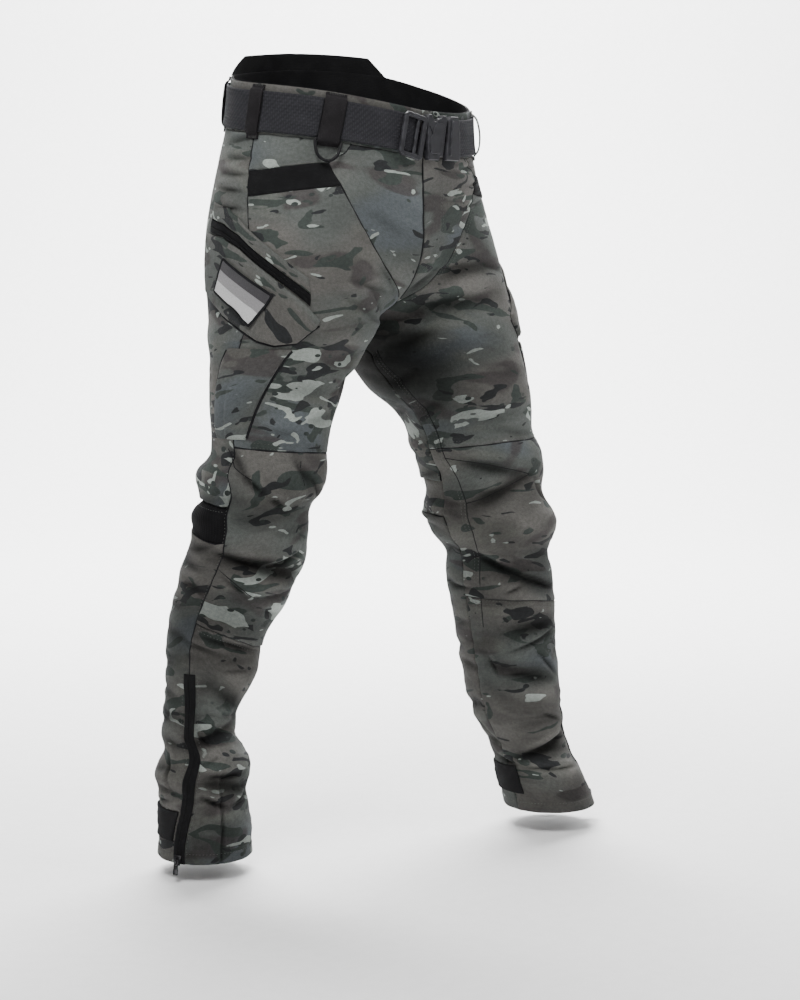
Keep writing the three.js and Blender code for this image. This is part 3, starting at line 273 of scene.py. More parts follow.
def smooth(table, column, at):
    """One column of a table, read along a smooth curve through its rows."""
    keys, values = table[:, 0], table[:, column]
    if keys[0] > keys[-1]:
        keys, values = keys[::-1], values[::-1]
    n = len(keys)
    low = np.maximum(np.arange(n) - 1, 0)
    high = np.minimum(np.arange(n) + 1, n - 1)
    slope = (values[high] - values[low]) / (keys[high] - keys[low])
    at = np.asarray(at, float)
    k = np.clip(np.searchsorted(keys, at, side="right") - 1, 0, n - 2)
    h = keys[k + 1] - keys[k]
    u = np.clip((at - keys[k]) / h, 0, 1)
    u2, u3 = u * u, u * u * u
    return (
        (2 * u3 - 3 * u2 + 1) * values[k]
        + (u3 - 2 * u2 + u) * h * slope[k]
        + (3 * u2 - 2 * u3) * values[k + 1]
        + (u3 - u2) * h * slope[k + 1]
    )


def straight(table, column, at):
    """One column of a table, read along straight lines between its rows."""
    keys, values = table[:, 0], table[:, column]
    if keys[0] > keys[-1]:
        keys, values = keys[::-1], values[::-1]
    return np.interp(at, keys, values)


def unit(v):
    return v / np.maximum(np.linalg.norm(v, axis=-1, keepdims=True), 1e-12)


# The garment's surface: t runs round a leg from the centre front or inseam over the front,
# the outseam and the back, z is the height
def plain(leg, t, z):
    t, z = np.broadcast_arrays(np.asarray(t, float), np.asarray(z, float))
    t = np.where(z < CROTCH_Z, t - np.floor(t), np.clip(t, 0, 1))
    side = -1 if leg == "R" else 1
    leg_z = np.minimum(z, -150)
    x, y, width, depth = (smooth(LEGS[leg], c, leg_z) for c in (1, 2, 3, 4))
    hip_z = np.maximum(z, CROTCH_Z)
    hip_width = smooth(HIPS, 1, hip_z)
    hip_depth = np.where(t < 0.5, smooth(HIPS, 2, hip_z), smooth(HIPS, 3, hip_z))
    down = np.clip((-160 - z) / 102, 0, 1)
    inner = 1 - np.sqrt(1 - down * down)
    outer = ease(-60, CROTCH_Z, z)
    cos = np.cos(np.pi * t)
    part = outer + (inner - outer) * cos**4
    shared = ease(CROTCH_Z - 110, CROTCH_Z, z) * cos * cos
    middle_x = np.where(z >= CROTCH_Z, side * width, x)
    middle_y = y + (CROTCH_Y - y) * shared
    px = side * hip_width * np.sin(np.pi * t)
    py = -hip_depth * cos
    px = px + (middle_x - side * width * np.cos(2 * np.pi * t) - px) * part
    py = py + (middle_y - depth * np.sin(2 * np.pi * t) - py) * part
    twist = -side * WAIST_TWIST * np.sin(2 * np.pi * t)
    lift = WAIST_TILT * py + straight(WAIST_RISE, 1, t) + twist
    return np.stack([px, py, z + lift * ease(-170, -20, z)], -1)


def outward(leg, t, z, surface=plain):
    t, z = np.broadcast_arrays(np.asarray(t, float), np.asarray(z, float))
    high = np.where(z < CROTCH_Z, t + 0.004, np.minimum(t + 0.004, 1))
    low = np.where(z < CROTCH_Z, t - 0.004, np.maximum(t - 0.004, 0))
    across = surface(leg, high, z) - surface(leg, low, z)
    along = surface(leg, t, z - 1.5) - surface(leg, t, z + 1.5)
    n = unit(np.cross(across, along))
    return n if leg == "R" else -n


# Noise that repeats after a whole number of cells in its first coordinate
def noise(u, v, cells, seed):
    rng = np.random.default_rng(seed)
    angles = rng.uniform(0, 2 * np.pi, (cells, 64))
    u = np.mod(u, cells)
    i, j = np.floor(u).astype(int), np.floor(v).astype(int)
    fu, fv = u - i, v - j
    su, sv = fu * fu * (3 - 2 * fu), fv * fv * (3 - 2 * fv)

    def corner(a, b):
        angle = angles[(i + a) % cells, (j + b) % 64]
        return np.cos(angle) * (fu - a) + np.sin(angle) * (fv - b)

    top = corner(0, 0) * (1 - su) + corner(1, 0) * su
    low = corner(0, 1) * (1 - su) + corner(1, 1) * su
    return 1.5 * (top * (1 - sv) + low * sv)


def on_fold(t, z, row):
    """Place along a fold, -1 to 1, distance off its line, and the fold's half width and depth."""
    fold_t, fold_z, slope, length, width, depth = row
    away = t - fold_t
    away = np.where(z < CROTCH_Z, away - np.round(away), away)
    return np.clip(away / length, -1, 1), z - fold_z - slope * away, width, depth


def sharp(v):
    return np.exp(-0.9 * (np.sqrt(1 + 7 * v * v) - 1))


def fold_depth(leg, t, z):
    """How far the cloth stands out of the plain garment."""
    t, z = np.broadcast_arrays(np.asarray(t, float), np.asarray(z, float))
    t = np.where(z < CROTCH_Z, t - np.floor(t), np.clip(t, 0, 1))
    total = np.zeros(t.shape)
    for gain, taper, table in ((FOLD_GAIN, 0, FOLDS[leg]), (CREASE_GAIN, 0.25, CREASES[leg])):
        for row in table:
            x, off, width, depth = on_fold(t, z, row)
            v = off / (width * (1 - taper * np.abs(x)))
            if depth < 0:
                shape = sharp(v) - 0.28 * np.exp(-((np.abs(v) - 1.7) ** 2))
            else:
                shape = np.exp(-v * v)
            total += gain * depth * np.cos(np.pi / 2 * x) ** 2 * shape
    for row in MARKS[leg]:
        x, off, width, depth = on_fold(t, z, row)
        v = off / (width * math.hypot(1, row[2] / 380))
        shape = sharp(v) - 0.42 * np.exp(-((v - 1.7) ** 2)) - 0.15 * np.exp(-((v + 1.8) ** 2))
        total += MARK_GAIN * depth * np.cos(np.pi / 2 * x) ** 2 * shape
    place = 1 if leg == "R" else 2
    warp = 1.3 * noise(4 * t, z / 70, 4, 10 + place)
    wide = noise(5 * t + 0.3 * warp, z / 34 + warp, 5, 20 + place)
    fine = noise(9 * t, z / 15 + 1.5 * warp, 9, 30 + place)
    ridge = 0.5 - np.abs(fine)
    ankle = ease(-600, -700, z) * (1 - ease(-835, -870, z))
    knee = np.exp(-(((z + 500) / 70) ** 2))
    crotch = np.exp(-(((z + 270) / 60) ** 2)) * np.cos(np.pi * t) ** 4
    amount = 0.35 + 1.1 * ankle + 0.7 * knee + 0.8 * crotch
    total += amount * (1.5 * wide + 1.2 * ridge) * ease(-60, -110, z)
    return total


def skin(leg, t, z):
    depth = fold_depth(leg, t, z)
    return plain(leg, t, z) + depth[..., None] * outward(leg, t, z)


def row_z(leg, row, t):
    """Height of a row of the sheet at any t."""
    levels = LEVELS[leg]
    starts = [level[0] for level in levels]
    k = int(np.clip(np.searchsorted(starts, row, side="right") - 1, 0, len(levels) - 2))
    u = (row - starts[k]) / (starts[k + 1] - starts[k])
    a = np.interp(t, LEVEL_T, levels[k][1:])
    b = np.interp(t, LEVEL_T, levels[k + 1][1:])
    return a + (b - a) * u


# Edges of the panels: t at a row
def side_of(leg):
    """The outseam."""
    return lambda row: float(smooth(OUTSEAM, 1, row_z(leg, row, 0.46)))


def slant_t(row):
    return float(np.interp(row, SLANT[:, 0], SLANT[:, 1]))


def fixed_t(t):
    return lambda row: t


# Materials
class Shader:
    """A material made of nodes; every input is a number, a colour or another node's output."""

    def __init__(self, name, viewport):
        self.material = bpy.data.materials.new(name)
        self.material.use_nodes = True
        self.material.diffuse_color = (*viewport, 1)
        self.tree = self.material.node_tree
        self.tree.nodes.clear()

    def node(self, kind, inputs=None, out=0, **settings):
        made = self.tree.nodes.new("ShaderNode" + kind)
        for key, value in settings.items():
            setattr(made, key, value)
        for key, value in (inputs or {}).items():
            self.put(made.inputs[key], value)
        return made.outputs[out] if len(made.outputs) else None

    def put(self, socket, value):
        if isinstance(value, bpy.types.NodeSocket):
            self.tree.links.new(value, socket)
        elif isinstance(value, tuple) and socket.type == "RGBA":
            socket.default_value = (*value[:3], 1)
        else:
            socket.default_value = value

    def math(self, operation, a, b=0.0, c=0.0):
        made = self.tree.nodes.new("ShaderNodeMath")
        made.operation = operation
        for socket, value in zip(made.inputs, (a, b, c)):
            self.put(socket, value)
        return made.outputs[0]

    def plus(self, a, b):
        return self.math("ADD", a, b)

    def times(self, a, b):
        return self.math("MULTIPLY", a, b)

    def mix(self, factor, a, b):
        made = self.tree.nodes.new("ShaderNodeMix")
        made.data_type = "RGBA"
        self.put(made.inputs[0], factor)
        self.put(made.inputs[6], a)
        self.put(made.inputs[7], b)
        return made.outputs[2]

    def step(self, value, low, high, to_low=0.0, to_high=1.0):
        return self.node(
            "MapRange",
            {"Value": value, "From Min": low, "From Max": high, "To Min": to_low,
             "To Max": to_high},
            interpolation_type="SMOOTHSTEP",
        )

    def flat(self, scale, offset=(0, 0, 0)):
        """The flat cut of the piece in metres, scaled."""
        return self.node(
            "Mapping",
            {"Vector": self.node("UVMap", uv_map="flat"), "Scale": scale, "Location": offset},
        )

    def noise(self, vector, scale=1.0, detail=1.0, distortion=0.0, roughness=0.5):
        inputs = {"Vector": vector, "Scale": scale, "Detail": detail, "Roughness": roughness,
                  "Distortion": distortion}
        return self.node("TexNoise", inputs)

    def wave(self, vector, scale, direction):
        return self.node(
            "TexWave", {"Vector": vector, "Scale": scale, "Distortion": 0.0},
            wave_type="BANDS", bands_direction=direction, wave_profile="SIN",
        )

    def scaled(self, color, tone):
        return self.node("VectorMath", {0: color, "Scale": tone}, operation="SCALE")

    def finish(self, color, roughness, height, depth, sheen=0.0, specular=0.35):
        bump = self.node("Bump", {"Strength": 1.0, "Distance": depth, "Height": height})
        shader = self.node(
            "BsdfPrincipled",
            {
                "Base Color": color, "Roughness": roughness, "Normal": bump,
                "Specular IOR Level": specular, "Sheen Weight": sheen, "Sheen Roughness": 0.5,
            },
        )
        self.node("OutputMaterial", {"Surface": shader})
        return self.material


def camouflage():
    """Blotches of one scale, darker ones over lighter ground, denser where group is high, then
    scaled by the painted light and shade of the height attribute.
    """
    s = Shader("camouflage_cloth", (0.07, 0.07, 0.066))
    ground = s.noise(s.flat((4.5, 7, 1)), detail=1.0, distortion=0.3)
    color = s.mix(s.step(ground, 0.44, 0.58), (0.088, 0.085, 0.079), (0.072, 0.078, 0.073))
    color = s.mix(s.step(ground, 0.60, 0.70), color, (0.073, 0.082, 0.087))
    group = s.noise(s.flat((5.5, 8.5, 1), (4.9, 8.6, 1)), detail=0.5)
    busy = s.step(group, 0.40, 0.62, -0.075, 0.035)
    bright = s.step(group, 0.50, 0.68, -0.09, 0.045)
    layers = (
        ((10, 23, 1), (3.1, 1.7, 4), 1.5, 0.5, None, (0.56, 0.63, 0, 0.8), (0.043, 0.038, 0.038)),
        ((10, 22, 1), (9.1, 5.7, 2), 1.0, 0.6, None, (0.60, 0.68, 0, 0.4), (0.100, 0.102, 0.090)),
        ((17, 39, 1), (5.3, 8.8, 7), 1.6, 0.7, busy, (0.585, 0.600), (0.036, 0.043, 0.039)),
        ((25, 56, 1), (1.3, 2.9, 9), 1.2, 0.8, busy, (0.628, 0.640), (0.020, 0.021, 0.022)),
        ((22, 49, 1), (2.2, 6.1, 5), 1.6, 0.9, bright, (0.610, 0.622), (0.235, 0.258, 0.238)),
    )
    for scale, offset, detail, distortion, crowding, edge, tint in layers:
        blotch = s.noise(s.flat(scale, offset), detail=detail, distortion=distortion)
        if crowding is not None:
            blotch = s.plus(blotch, crowding)
        color = s.mix(s.step(blotch, *edge), color, tint)
    dots = s.node("TexVoronoi", {"Vector": s.flat((46, 70, 1)), "Scale": 1.0, "Randomness": 1.0})
    dot = s.times(s.step(dots, 0.20, 0.17), s.step(group, 0.56, 0.60))
    color = s.mix(dot, color, (0.028, 0.033, 0.031))
    fade = s.noise(s.flat((240, 240, 1)), detail=3.0, roughness=0.65)
    wash = s.noise(s.flat((9, 14, 1), (4.4, 0.7, 3)), detail=2.0)
    grain = s.noise(s.flat((1500, 900, 1)), detail=1.0)
    grains = s.step(grain, 0.3, 0.7, 0.86, 1.14)
    tone = s.times(s.step(fade, 0.3, 0.7, 0.87, 1.13), grains)
    tone = s.times(tone, s.step(wash, 0.3, 0.7, 0.82, 1.15))
    # Painted shade and painted light: the height attribute darkens the print in fold troughs, on
    # the lower legs and on the inner left thigh, and lightens fold ridges and the hips
    height = s.node("Attribute", attribute_name="height", out=2)
    tone = s.times(tone, s.step(height, -2.2, 1.3, 0.1, 1.45))
    color = s.scaled(color, tone)
    plain_flat = s.flat((1, 1, 1))
    weave = s.times(s.wave(plain_flat, 210.0, "X"), s.wave(plain_flat, 210.0, "Y"))
    rip_x = s.math("PINGPONG", s.node("SeparateXYZ", {0: plain_flat}), 0.003)
    rip_y = s.math("PINGPONG", s.node("SeparateXYZ", {0: plain_flat}, out=1), 0.003)
    rip = s.step(s.math("MINIMUM", rip_x, rip_y), 0.0, 0.0004, 1.0, 0.0)
    relief = s.plus(s.times(weave, 0.5), s.times(grain, 0.8))
    relief = s.plus(relief, s.times(rip, 0.4))
    return s.finish(color, 0.9, relief, 0.00018, sheen=0.03, specular=0.12)


def black_cloth(name, color, warp, roughness=0.9):
    s = Shader(name, color)
    flat = s.flat((1, 1, 1))
    ribs = s.wave(flat, warp, "X")
    weft = s.wave(flat, 160.0, "Y")
    grain = s.noise(s.flat((800, 800, 1)), detail=2.0)
    fade = s.noise(s.flat((40, 40, 1)), detail=3.0)
    height = s.plus(ribs, s.times(weft, 0.4))
    height = s.plus(height, s.times(grain, 0.6))
    light = tuple(1.5 * c + 0.002 for c in color)
    factor = s.times(s.step(fade, 0.3, 0.75), s.step(grain, 0.3, 0.7, 0.3, 1.0))
    return s.finish(s.mix(factor, color, light), roughness, height, 0.0002, specular=0.08)


def webbing():
    s = Shader("belt_webbing", (0.03, 0.03, 0.034))
    flat = s.flat((1, 1, 1))
    ribs = s.wave(flat, 85.0, "Y")
    dots = s.times(s.wave(flat, 95.0, "DIAGONAL"), s.wave(flat, 120.0, "X"))
    grain = s.noise(s.flat((900, 900, 1)), detail=1.0)
    wear = s.noise(s.flat((26, 60, 1)), detail=3.0)
    height = s.plus(ribs, s.times(dots, 0.7))
    height = s.plus(height, s.times(grain, 0.4))
    color = s.mix(s.times(dots, 0.7), (0.020, 0.020, 0.023), (0.036, 0.036, 0.041))
    color = s.mix(s.step(wear, 0.45, 0.75, 0, 0.3), color, (0.042, 0.042, 0.047))
    return s.finish(color, 0.85, height, 0.0003, specular=0.12)


def plastic():
    s = Shader("buckle_plastic", (0.03, 0.031, 0.034))
    place = s.node("TexCoord", out=3)
    grain = s.noise(place, scale=900.0, detail=2.0)
    wear = s.noise(place, scale=120.0, detail=3.0)
    edge = s.node("NewGeometry", out=7)
    rub = s.times(s.step(edge, 0.52, 0.6), s.step(wear, 0.4, 0.6))
    color = s.mix(s.step(wear, 0.3, 0.8), (0.019, 0.019, 0.022), (0.029, 0.029, 0.034))
    color = s.mix(rub, color, (0.046, 0.046, 0.052))
    rough = s.step(wear, 0.3, 0.7, 0.42, 0.58)
    return s.finish(color, rough, grain, 0.00006, specular=0.3)


def metal(name, worn):
    s = Shader(name, (0.015, 0.015, 0.016))
    place = s.node("TexCoord", out=3)
    grain = s.noise(place, scale=600.0, detail=2.0)
    wear = s.noise(place, scale=220.0, detail=3.0)
    edge = s.node("NewGeometry", out=7)
    rub = s.times(s.step(edge, 0.53, 0.62), s.step(wear, 0.45, 0.6))
    color = s.mix(rub, (0.007, 0.007, 0.008), (worn, worn, 1.05 * worn))
    return s.finish(color, s.step(wear, 0.3, 0.7, 0.5, 0.66), grain, 0.00004, specular=0.16)


def thread(name, color):
    s = Shader(name, color)
    place = s.node("TexCoord", out=3)
    twist = s.noise(place, scale=1400.0, detail=1.0)
    tone = s.noise(place, scale=60.0, detail=2.0)
    light = tuple(min(1, 1.5 * c) for c in color)
    return s.finish(s.mix(s.step(tone, 0.3, 0.7), color, light), 0.8, twist, 0.0001, specular=0.1)


def patch_cloth():
    s = Shader("patch_cloth", (0.16, 0.16, 0.17))
    up = s.node("SeparateXYZ", {0: s.node("UVMap", uv_map="flat")}, out=1)
    height = s.wave(s.flat((1, 1, 1)), 330.0, "X")
    grain = s.noise(s.flat((900, 500, 1)), detail=2.0)
    color = s.mix(s.step(up, 0.0155, 0.0160), (0.52, 0.52, 0.52), (0.235, 0.23, 0.235))
    color = s.mix(s.step(up, 0.0295, 0.0300), color, (0.040, 0.038, 0.042))
    tone = s.step(grain, 0.3, 0.7, 0.85, 1.1)
    color = s.scaled(color, tone)
    return s.finish(color, 0.8, s.plus(height, grain), 0.00015, sheen=0.1)


CAMO = camouflage()
BLACK = black_cloth("black_trim", (0.0085, 0.0085, 0.009), 260.0)
STRETCH = black_cloth("black_stretch", (0.005, 0.005, 0.0055), 75.0)
TAPE = black_cloth("zip_tape", (0.006, 0.006, 0.0065), 320.0, roughness=0.8)
LOOP_CLOTH = black_cloth("black_loop", (0.014, 0.013, 0.014), 190.0)
WEB = webbing()
PLASTIC = plastic()
RING_METAL = metal("ring_metal", 0.012)
ZIP_METAL = metal("zip_metal", 0.08)
THREAD = thread("camouflage_thread", (0.075, 0.078, 0.074))
# Dark thread for the patch border, also the colour of the painted shade ribbons and of the
# buckle's painted groove line
DARK_THREAD_AND_SHADE = thread("dark_thread_and_painted_shade", (0.008, 0.008, 0.009))
PATCH_CLOTH = patch_cloth()


# Meshes
def add(name, data):
    """A new object in the scene."""
    made = bpy.data.objects.new(name, data)
    bpy.context.scene.collection.objects.link(made)
    return made


def grid_normals(points, sign):
    n = np.cross(np.gradient(points, axis=1), np.gradient(points, axis=0))
    return unit(n) * sign


def make_piece(name, vertices, faces, material, body="trousers", slot=None, node=None, uv=None,
               height=None):
    mesh = bpy.data.meshes.new(name)
    faces = faces.tolist() if isinstance(faces, np.ndarray) else faces
    mesh.from_pydata((np.asarray(vertices) / 1000).tolist(), [], faces)
    if uv is not None:
        layer = mesh.uv_layers.new(name="flat")
        index = np.zeros(len(mesh.loops), dtype=np.int32)
        mesh.loops.foreach_get("vertex_index", index)
        layer.data.foreach_set("uv", (np.asarray(uv) / 1000)[index].ravel().astype(np.float32))
    # The height attribute holds painted light and shade for the cloth's colour, not a height
    if height is not None:
        mesh.attributes.new("height", "FLOAT", "POINT").data.foreach_set(
            "value", np.asarray(height, dtype=np.float32)
        )
    mesh.polygons.foreach_set("use_smooth", [True] * len(mesh.polygons))
    piece = add(name, mesh)
    mesh.materials.append(material)
    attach(piece, body)
    if node:
        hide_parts(*([node] if isinstance(node, str) else node))
    return piece


def make_shell(name, outer, inner, sign, uv, material, height=None, **more):
    """A thin closed piece from the points of its outer and its inner face."""
    rows, columns = outer.shape[:2]
    count = rows * columns
    ids = np.arange(count).reshape(rows, columns)
    top = np.stack([ids[:-1, :-1], ids[:-1, 1:], ids[1:, 1:], ids[1:, :-1]], -1).reshape(-1, 4)
    rim = np.concatenate([ids[0, :], ids[1:, -1], ids[-1, -2::-1], ids[-2:0:-1, 0]])
    after = np.roll(rim, -1)
    edge = np.stack([after, rim, rim + count, after + count], -1)
    faces = np.concatenate([top, top[:, ::-1] + count, edge])
    if sign < 0:
        faces = faces[:, ::-1]
    vertices = np.concatenate([outer.reshape(-1, 3), inner.reshape(-1, 3)])
    both = np.concatenate([uv.reshape(-1, 2)] * 2)
    # Painted light and shade per point, the same on both faces
    painted_light_and_shade = None if height is None else np.concatenate([height.ravel()] * 2)
    return make_piece(name, vertices, faces, material, uv=both, height=painted_light_and_shade, **more)


def flat_size(points):
    """Width, length and area of a grid of points laid flat."""
    widths = np.linalg.norm(np.diff(points, axis=1), axis=-1).sum(1)
    lengths = np.linalg.norm(np.diff(points, axis=0), axis=-1).sum(0)
    a = np.cross(points[1:, 1:] - points[:-1, :-1], points[1:, :-1] - points[:-1, 1:])
    area = np.linalg.norm(a, axis=-1).sum() / 2
    width, length = float(widths.max()), float(lengths.max())
    area = min(area, width * length)
    return (max(width, 10.01) / 1000, max(length, 10.01) / 1000), area / 1e6


def spread(length, count, edge=(0.45, 1.1, 2.3)):
    """Places along a length, closer together at both ends."""
    shrink = min(1, length / (4 * edge[-1]))
    near = np.array([0, *edge]) * shrink
    middle = np.linspace(near[-1], length - near[-1], count + 2)[1:-1]
    return np.concatenate([near, middle, length - near[::-1]])


# How far a panel's edge turns down, and how high the cloth puckers beside a seam
EDGE_ROLL = 0.95
PUCKER = 0.35


def edge_roll(distance):
    return -EDGE_ROLL * np.exp(-((distance / 0.8) ** 2))


sheets = {}


def declare(piece, points):
    size, area = flat_size(points)
    area = float(np.clip(area, 0.301 * size[0] * size[1], size[0] * size[1]))
    sheets[piece.name] = piece


# How far apart in the print two panels are cut
PRINT_SHIFT = (371, 533)

# Panels whose last edge is the outseam, from which their flat cut is measured
FRONTS = ("front_centre", "hip", "pocket_band", "thigh_front", "knee", "shin")


def arc_length(points):
    """Distance from the first point to each point along a line, or along every row of a grid."""
    steps = np.linalg.norm(np.diff(points, axis=-2), axis=-1)
    return np.concatenate([np.zeros(steps.shape[:-1] + (1,)), np.cumsum(steps, axis=-1)], -1)


def make_panel(name, leg, start, end, left, right, material, slot, order, rise=0.0, lift=(0, 0),
               node=None):
    """One cut piece of a leg, between two rows and between two edges given by t at a row."""
    sign = 1 if leg == "R" else -1
    scan = np.linspace(start, end, 120)
    middle = np.array([(left(r) + right(r)) / 2 for r in scan])
    heights = np.array([row_z(leg, r, t) for r, t in zip(scan, middle)])
    run = plain(leg, middle, heights)
    down = arc_length(run)
    places = spread(down[-1], max(2, int(down[-1] / STEP)))
    rows = np.interp(places, down, scan)
    arcs = []
    for row in rows:
        t = np.linspace(left(row), right(row), 41)
        arcs.append((t, arc_length(plain(leg, t, row_z(leg, row, t)))))
    count = max(2, int(max(arc[-1] for _, arc in arcs) / STEP))
    T, Z, S = [], [], []
    for row, (t, arc) in zip(rows, arcs):
        s = spread(arc[-1], count)
        here = np.interp(s, arc, t)
        T.append(here)
        Z.append(row_z(leg, row, here))
        S.append(s)
    T, Z, S = np.array(T), np.array(Z), np.array(S)
    base = plain(leg, T, Z)
    depth = fold_depth(leg, T, Z)
    points = base + depth[..., None] * outward(leg, T, Z)
    n = grid_normals(points, sign)
    across = S
    back = S[:, -1:] - S
    fall = np.broadcast_to(places[:, None], S.shape)
    climb = places[-1] - fall
    edges = sum(edge_roll(d) for d in (across, back, fall, climb))
    along = np.exp(-across / 7) + np.exp(-back / 7)
    pucker = PUCKER * np.sin(fall / 5.3 + 0.7 * order) * along
    ends = np.exp(-fall / 7) + np.exp(-climb / 7)
    pucker += PUCKER * np.sin(across / 5.1 + order) * ends
    raised = lift[0] * np.exp(-((fall / 12) ** 2)) + lift[1] * np.exp(-((climb / 12) ** 2))
    out = rise + np.maximum(edges, -EDGE_ROLL) + pucker + raised
    outer = points + out[..., None] * n
    wall = np.full(S.shape, CLOTH)
    if end == HEM_ROW:
        wall = wall + 1.2 * ease(HEM_TURN, 12, climb)
        outer = outer + 0.4 * ease(HEM_TURN, 13, climb)[..., None] * n
    inner = outer - wall[..., None] * n
    inset = SEAM / 2
    for grid in (outer, inner):
        grid[:, 0] += inset * unit(grid[:, 1] - grid[:, 0])
        grid[:, -1] += inset * unit(grid[:, -2] - grid[:, -1])
        grid[0] += inset * unit(grid[1] - grid[0])
        grid[-1] += inset * unit(grid[-2] - grid[-1])
        own_side = -sign * np.maximum(inset, -sign * grid[..., 0])
        grid[..., 0] = np.where(Z >= CROTCH_Z, own_side, grid[..., 0])
    u = S - S[:, -1:] if name in FRONTS else S
    uv = np.stack([u + PRINT_SHIFT[0] * order, -fall + PRINT_SHIFT[1] * order], -1)
    # Painted tone for the height attribute: the lower legs painted darker and the hips painted
    # lighter
    low = 0.85 * ease(-370, -520, Z) - 0.42 * ease(-280, -90, Z)
    # Painted shade on the inside of the left thigh near the crotch
    painted_thigh_shade = 0
    if leg == "L":
        painted_thigh_shade = 2.6 * np.exp(-(((Z + 305) / 65) ** 2)) * np.cos(np.pi * T) ** 6
    # Painted shade in the troughs of the folds and painted light on their ridges, following the
    # fold depth, together with the two terms above
    painted_light_and_shade = np.clip(depth / 3.7, -1, 1) - low - painted_thigh_shade
    piece = make_shell(f"cloth_{name}_{leg}", outer, inner, sign, uv, material, height=painted_light_and_shade,
                       slot=slot, node=f"{node or name}_{leg}")
    declare(piece, base)
    return piece


zero, one, inner = fixed_t(0.0), fixed_t(1.0), fixed_t(BEND_INNER)
for index, leg in enumerate("RL"):
    side = side_of(leg)
    camo = (CAMO, "camouflage_cloth")
    black = (BLACK, "black_trim")
    k = 9 * index
    make_panel("front_centre", leg, WAIST_ROW, SLANT_END, zero, slant_t, *camo, k + 1)
    make_panel("hip", leg, WAIST_ROW, BAND_ROW, slant_t, side, *camo, k + 2)
    make_panel("pocket_band", leg, BAND_ROW, POCKET_ROW, slant_t, side, *black, k + 3, rise=0.9)
    make_panel("thigh_front", leg, POCKET_ROW, KNEE_ROW, slant_t, side, *camo, k + 4)
    make_panel("knee", leg, KNEE_ROW, SHIN_ROW, zero, side, *camo, k + 5, lift=(0, 1.2))
    make_panel("shin", leg, SHIN_ROW, HEM_ROW, zero, side, *camo, k + 6)
    make_panel("back", leg, WAIST_ROW, BEND_ROW, side, one, *camo, k + 7, lift=(0, 3.5))
    make_panel("knee_back", leg, BEND_ROW, CALF_ROW, side, inner, STRETCH, "black_trim", k + 8)
    make_panel("knee_inner", leg, BEND_ROW, CALF_ROW, inner, one, *camo, k + 3, node="knee_back")
    make_panel("calf", leg, CALF_ROW, HEM_ROW, side, one, *camo, k + 9, lift=(2.5, 0))


# Laid-on pieces
def make_patch(name, leg, place, ps, qs, low, high, material, slot, node=None, swell=None,
               roll=0.9):
    """A strip laid on the garment: place(p, q) gives t and z, high its height over the skin."""
    P, Q = np.meshgrid(ps, qs)
    T, Z = place(P, Q)
    base = skin(leg, T, Z)
    sign = 1
    n = grid_normals(base, sign)
    middle = tuple(v // 2 for v in T.shape)
    if np.dot(n[middle], outward(leg, T, Z)[middle]) < 0:
        n, sign = -n, -1
    s = arc_length(base)
    d = arc_length(base.transpose(1, 0, 2)).T
    edge = np.minimum(np.minimum(s, s[:, -1:] - s), np.minimum(d, d[-1:] - d))
    out = np.full(T.shape, float(high))
    if swell is not None:
        out = out + swell(P, Q, edge)
    out = out - roll * np.exp(-((edge / 0.7) ** 2))
    outer = base + out[..., None] * n
    inner = base + np.maximum(out - CLOTH, low)[..., None] * n
    uv = np.stack([s * sign, -d], -1)
    piece = make_shell(name, outer, inner, sign, uv, material, slot=slot, node=node,
                       height=np.zeros(T.shape))
    declare(piece, base)
    return piece


def finer(stops, step, edge=0.004):
    """The stops of a table, closer together at both ends and between its rows."""
    places = [stops[0], stops[0] + edge * 0.4, stops[0] + edge]
    for a, b in zip(stops[:-1], stops[1:]):
        places += list(np.linspace(a, b, max(2, int(abs(b - a) / step) + 1))[1:])
    places += [stops[-1] - edge, stops[-1] - edge * 0.4]
    return np.array(sorted(set(round(v, 6) for v in places)))


def between(table):
    first, last = table[0, 0], table[-1, 0]

    def place(P, Q):
        T = first + (last - first) * P
        return T, straight(table, 1, T) * (1 - Q) + straight(table, 2, T) * Q

    return place, (table[:, 0] - first) / (last - first)


def bar_edges(count):
    return np.concatenate([[0, 0.04, 0.1], np.linspace(0.1, 0.9, count)[1:-1], [0.9, 0.96, 1]])


def bag_place(P, Q):
    z = BAG[0, 0] + (BAG[-1, 0] - BAG[0, 0]) * Q
    front, rear = smooth(BAG, 1, z), smooth(BAG, 2, z)
    return front + (rear - front) * P, z


def flap_swell(P, Q, edge):
    crown = np.sin(np.pi * P) * np.sin(np.pi * Q)
    band = 0.5 * ease(0, 1.2, edge) - 0.5 * ease(5.6, 6.6, edge)
    return 3.2 * crown + 1.6 * ease(0, 6, edge) + band


def bag_swell(P, Q, edge):
    crown = np.sin(np.pi * P) ** 0.6 * np.sin(np.pi * Q) ** 0.8
    fold = -1.6 * np.exp(-(((P - 0.72 + 0.1 * Q) / 0.05) ** 2))
    return 3.6 * crown + 0.8 * ease(0, 4, edge) + fold * ease(0, 8, edge)


def zip_swell(P, Q, edge):
    return 0.5 * np.exp(-(((Q - 0.5) / 0.16) ** 2)) - 0.9 * np.exp(-(((Q - 0.5) / 0.035) ** 2))


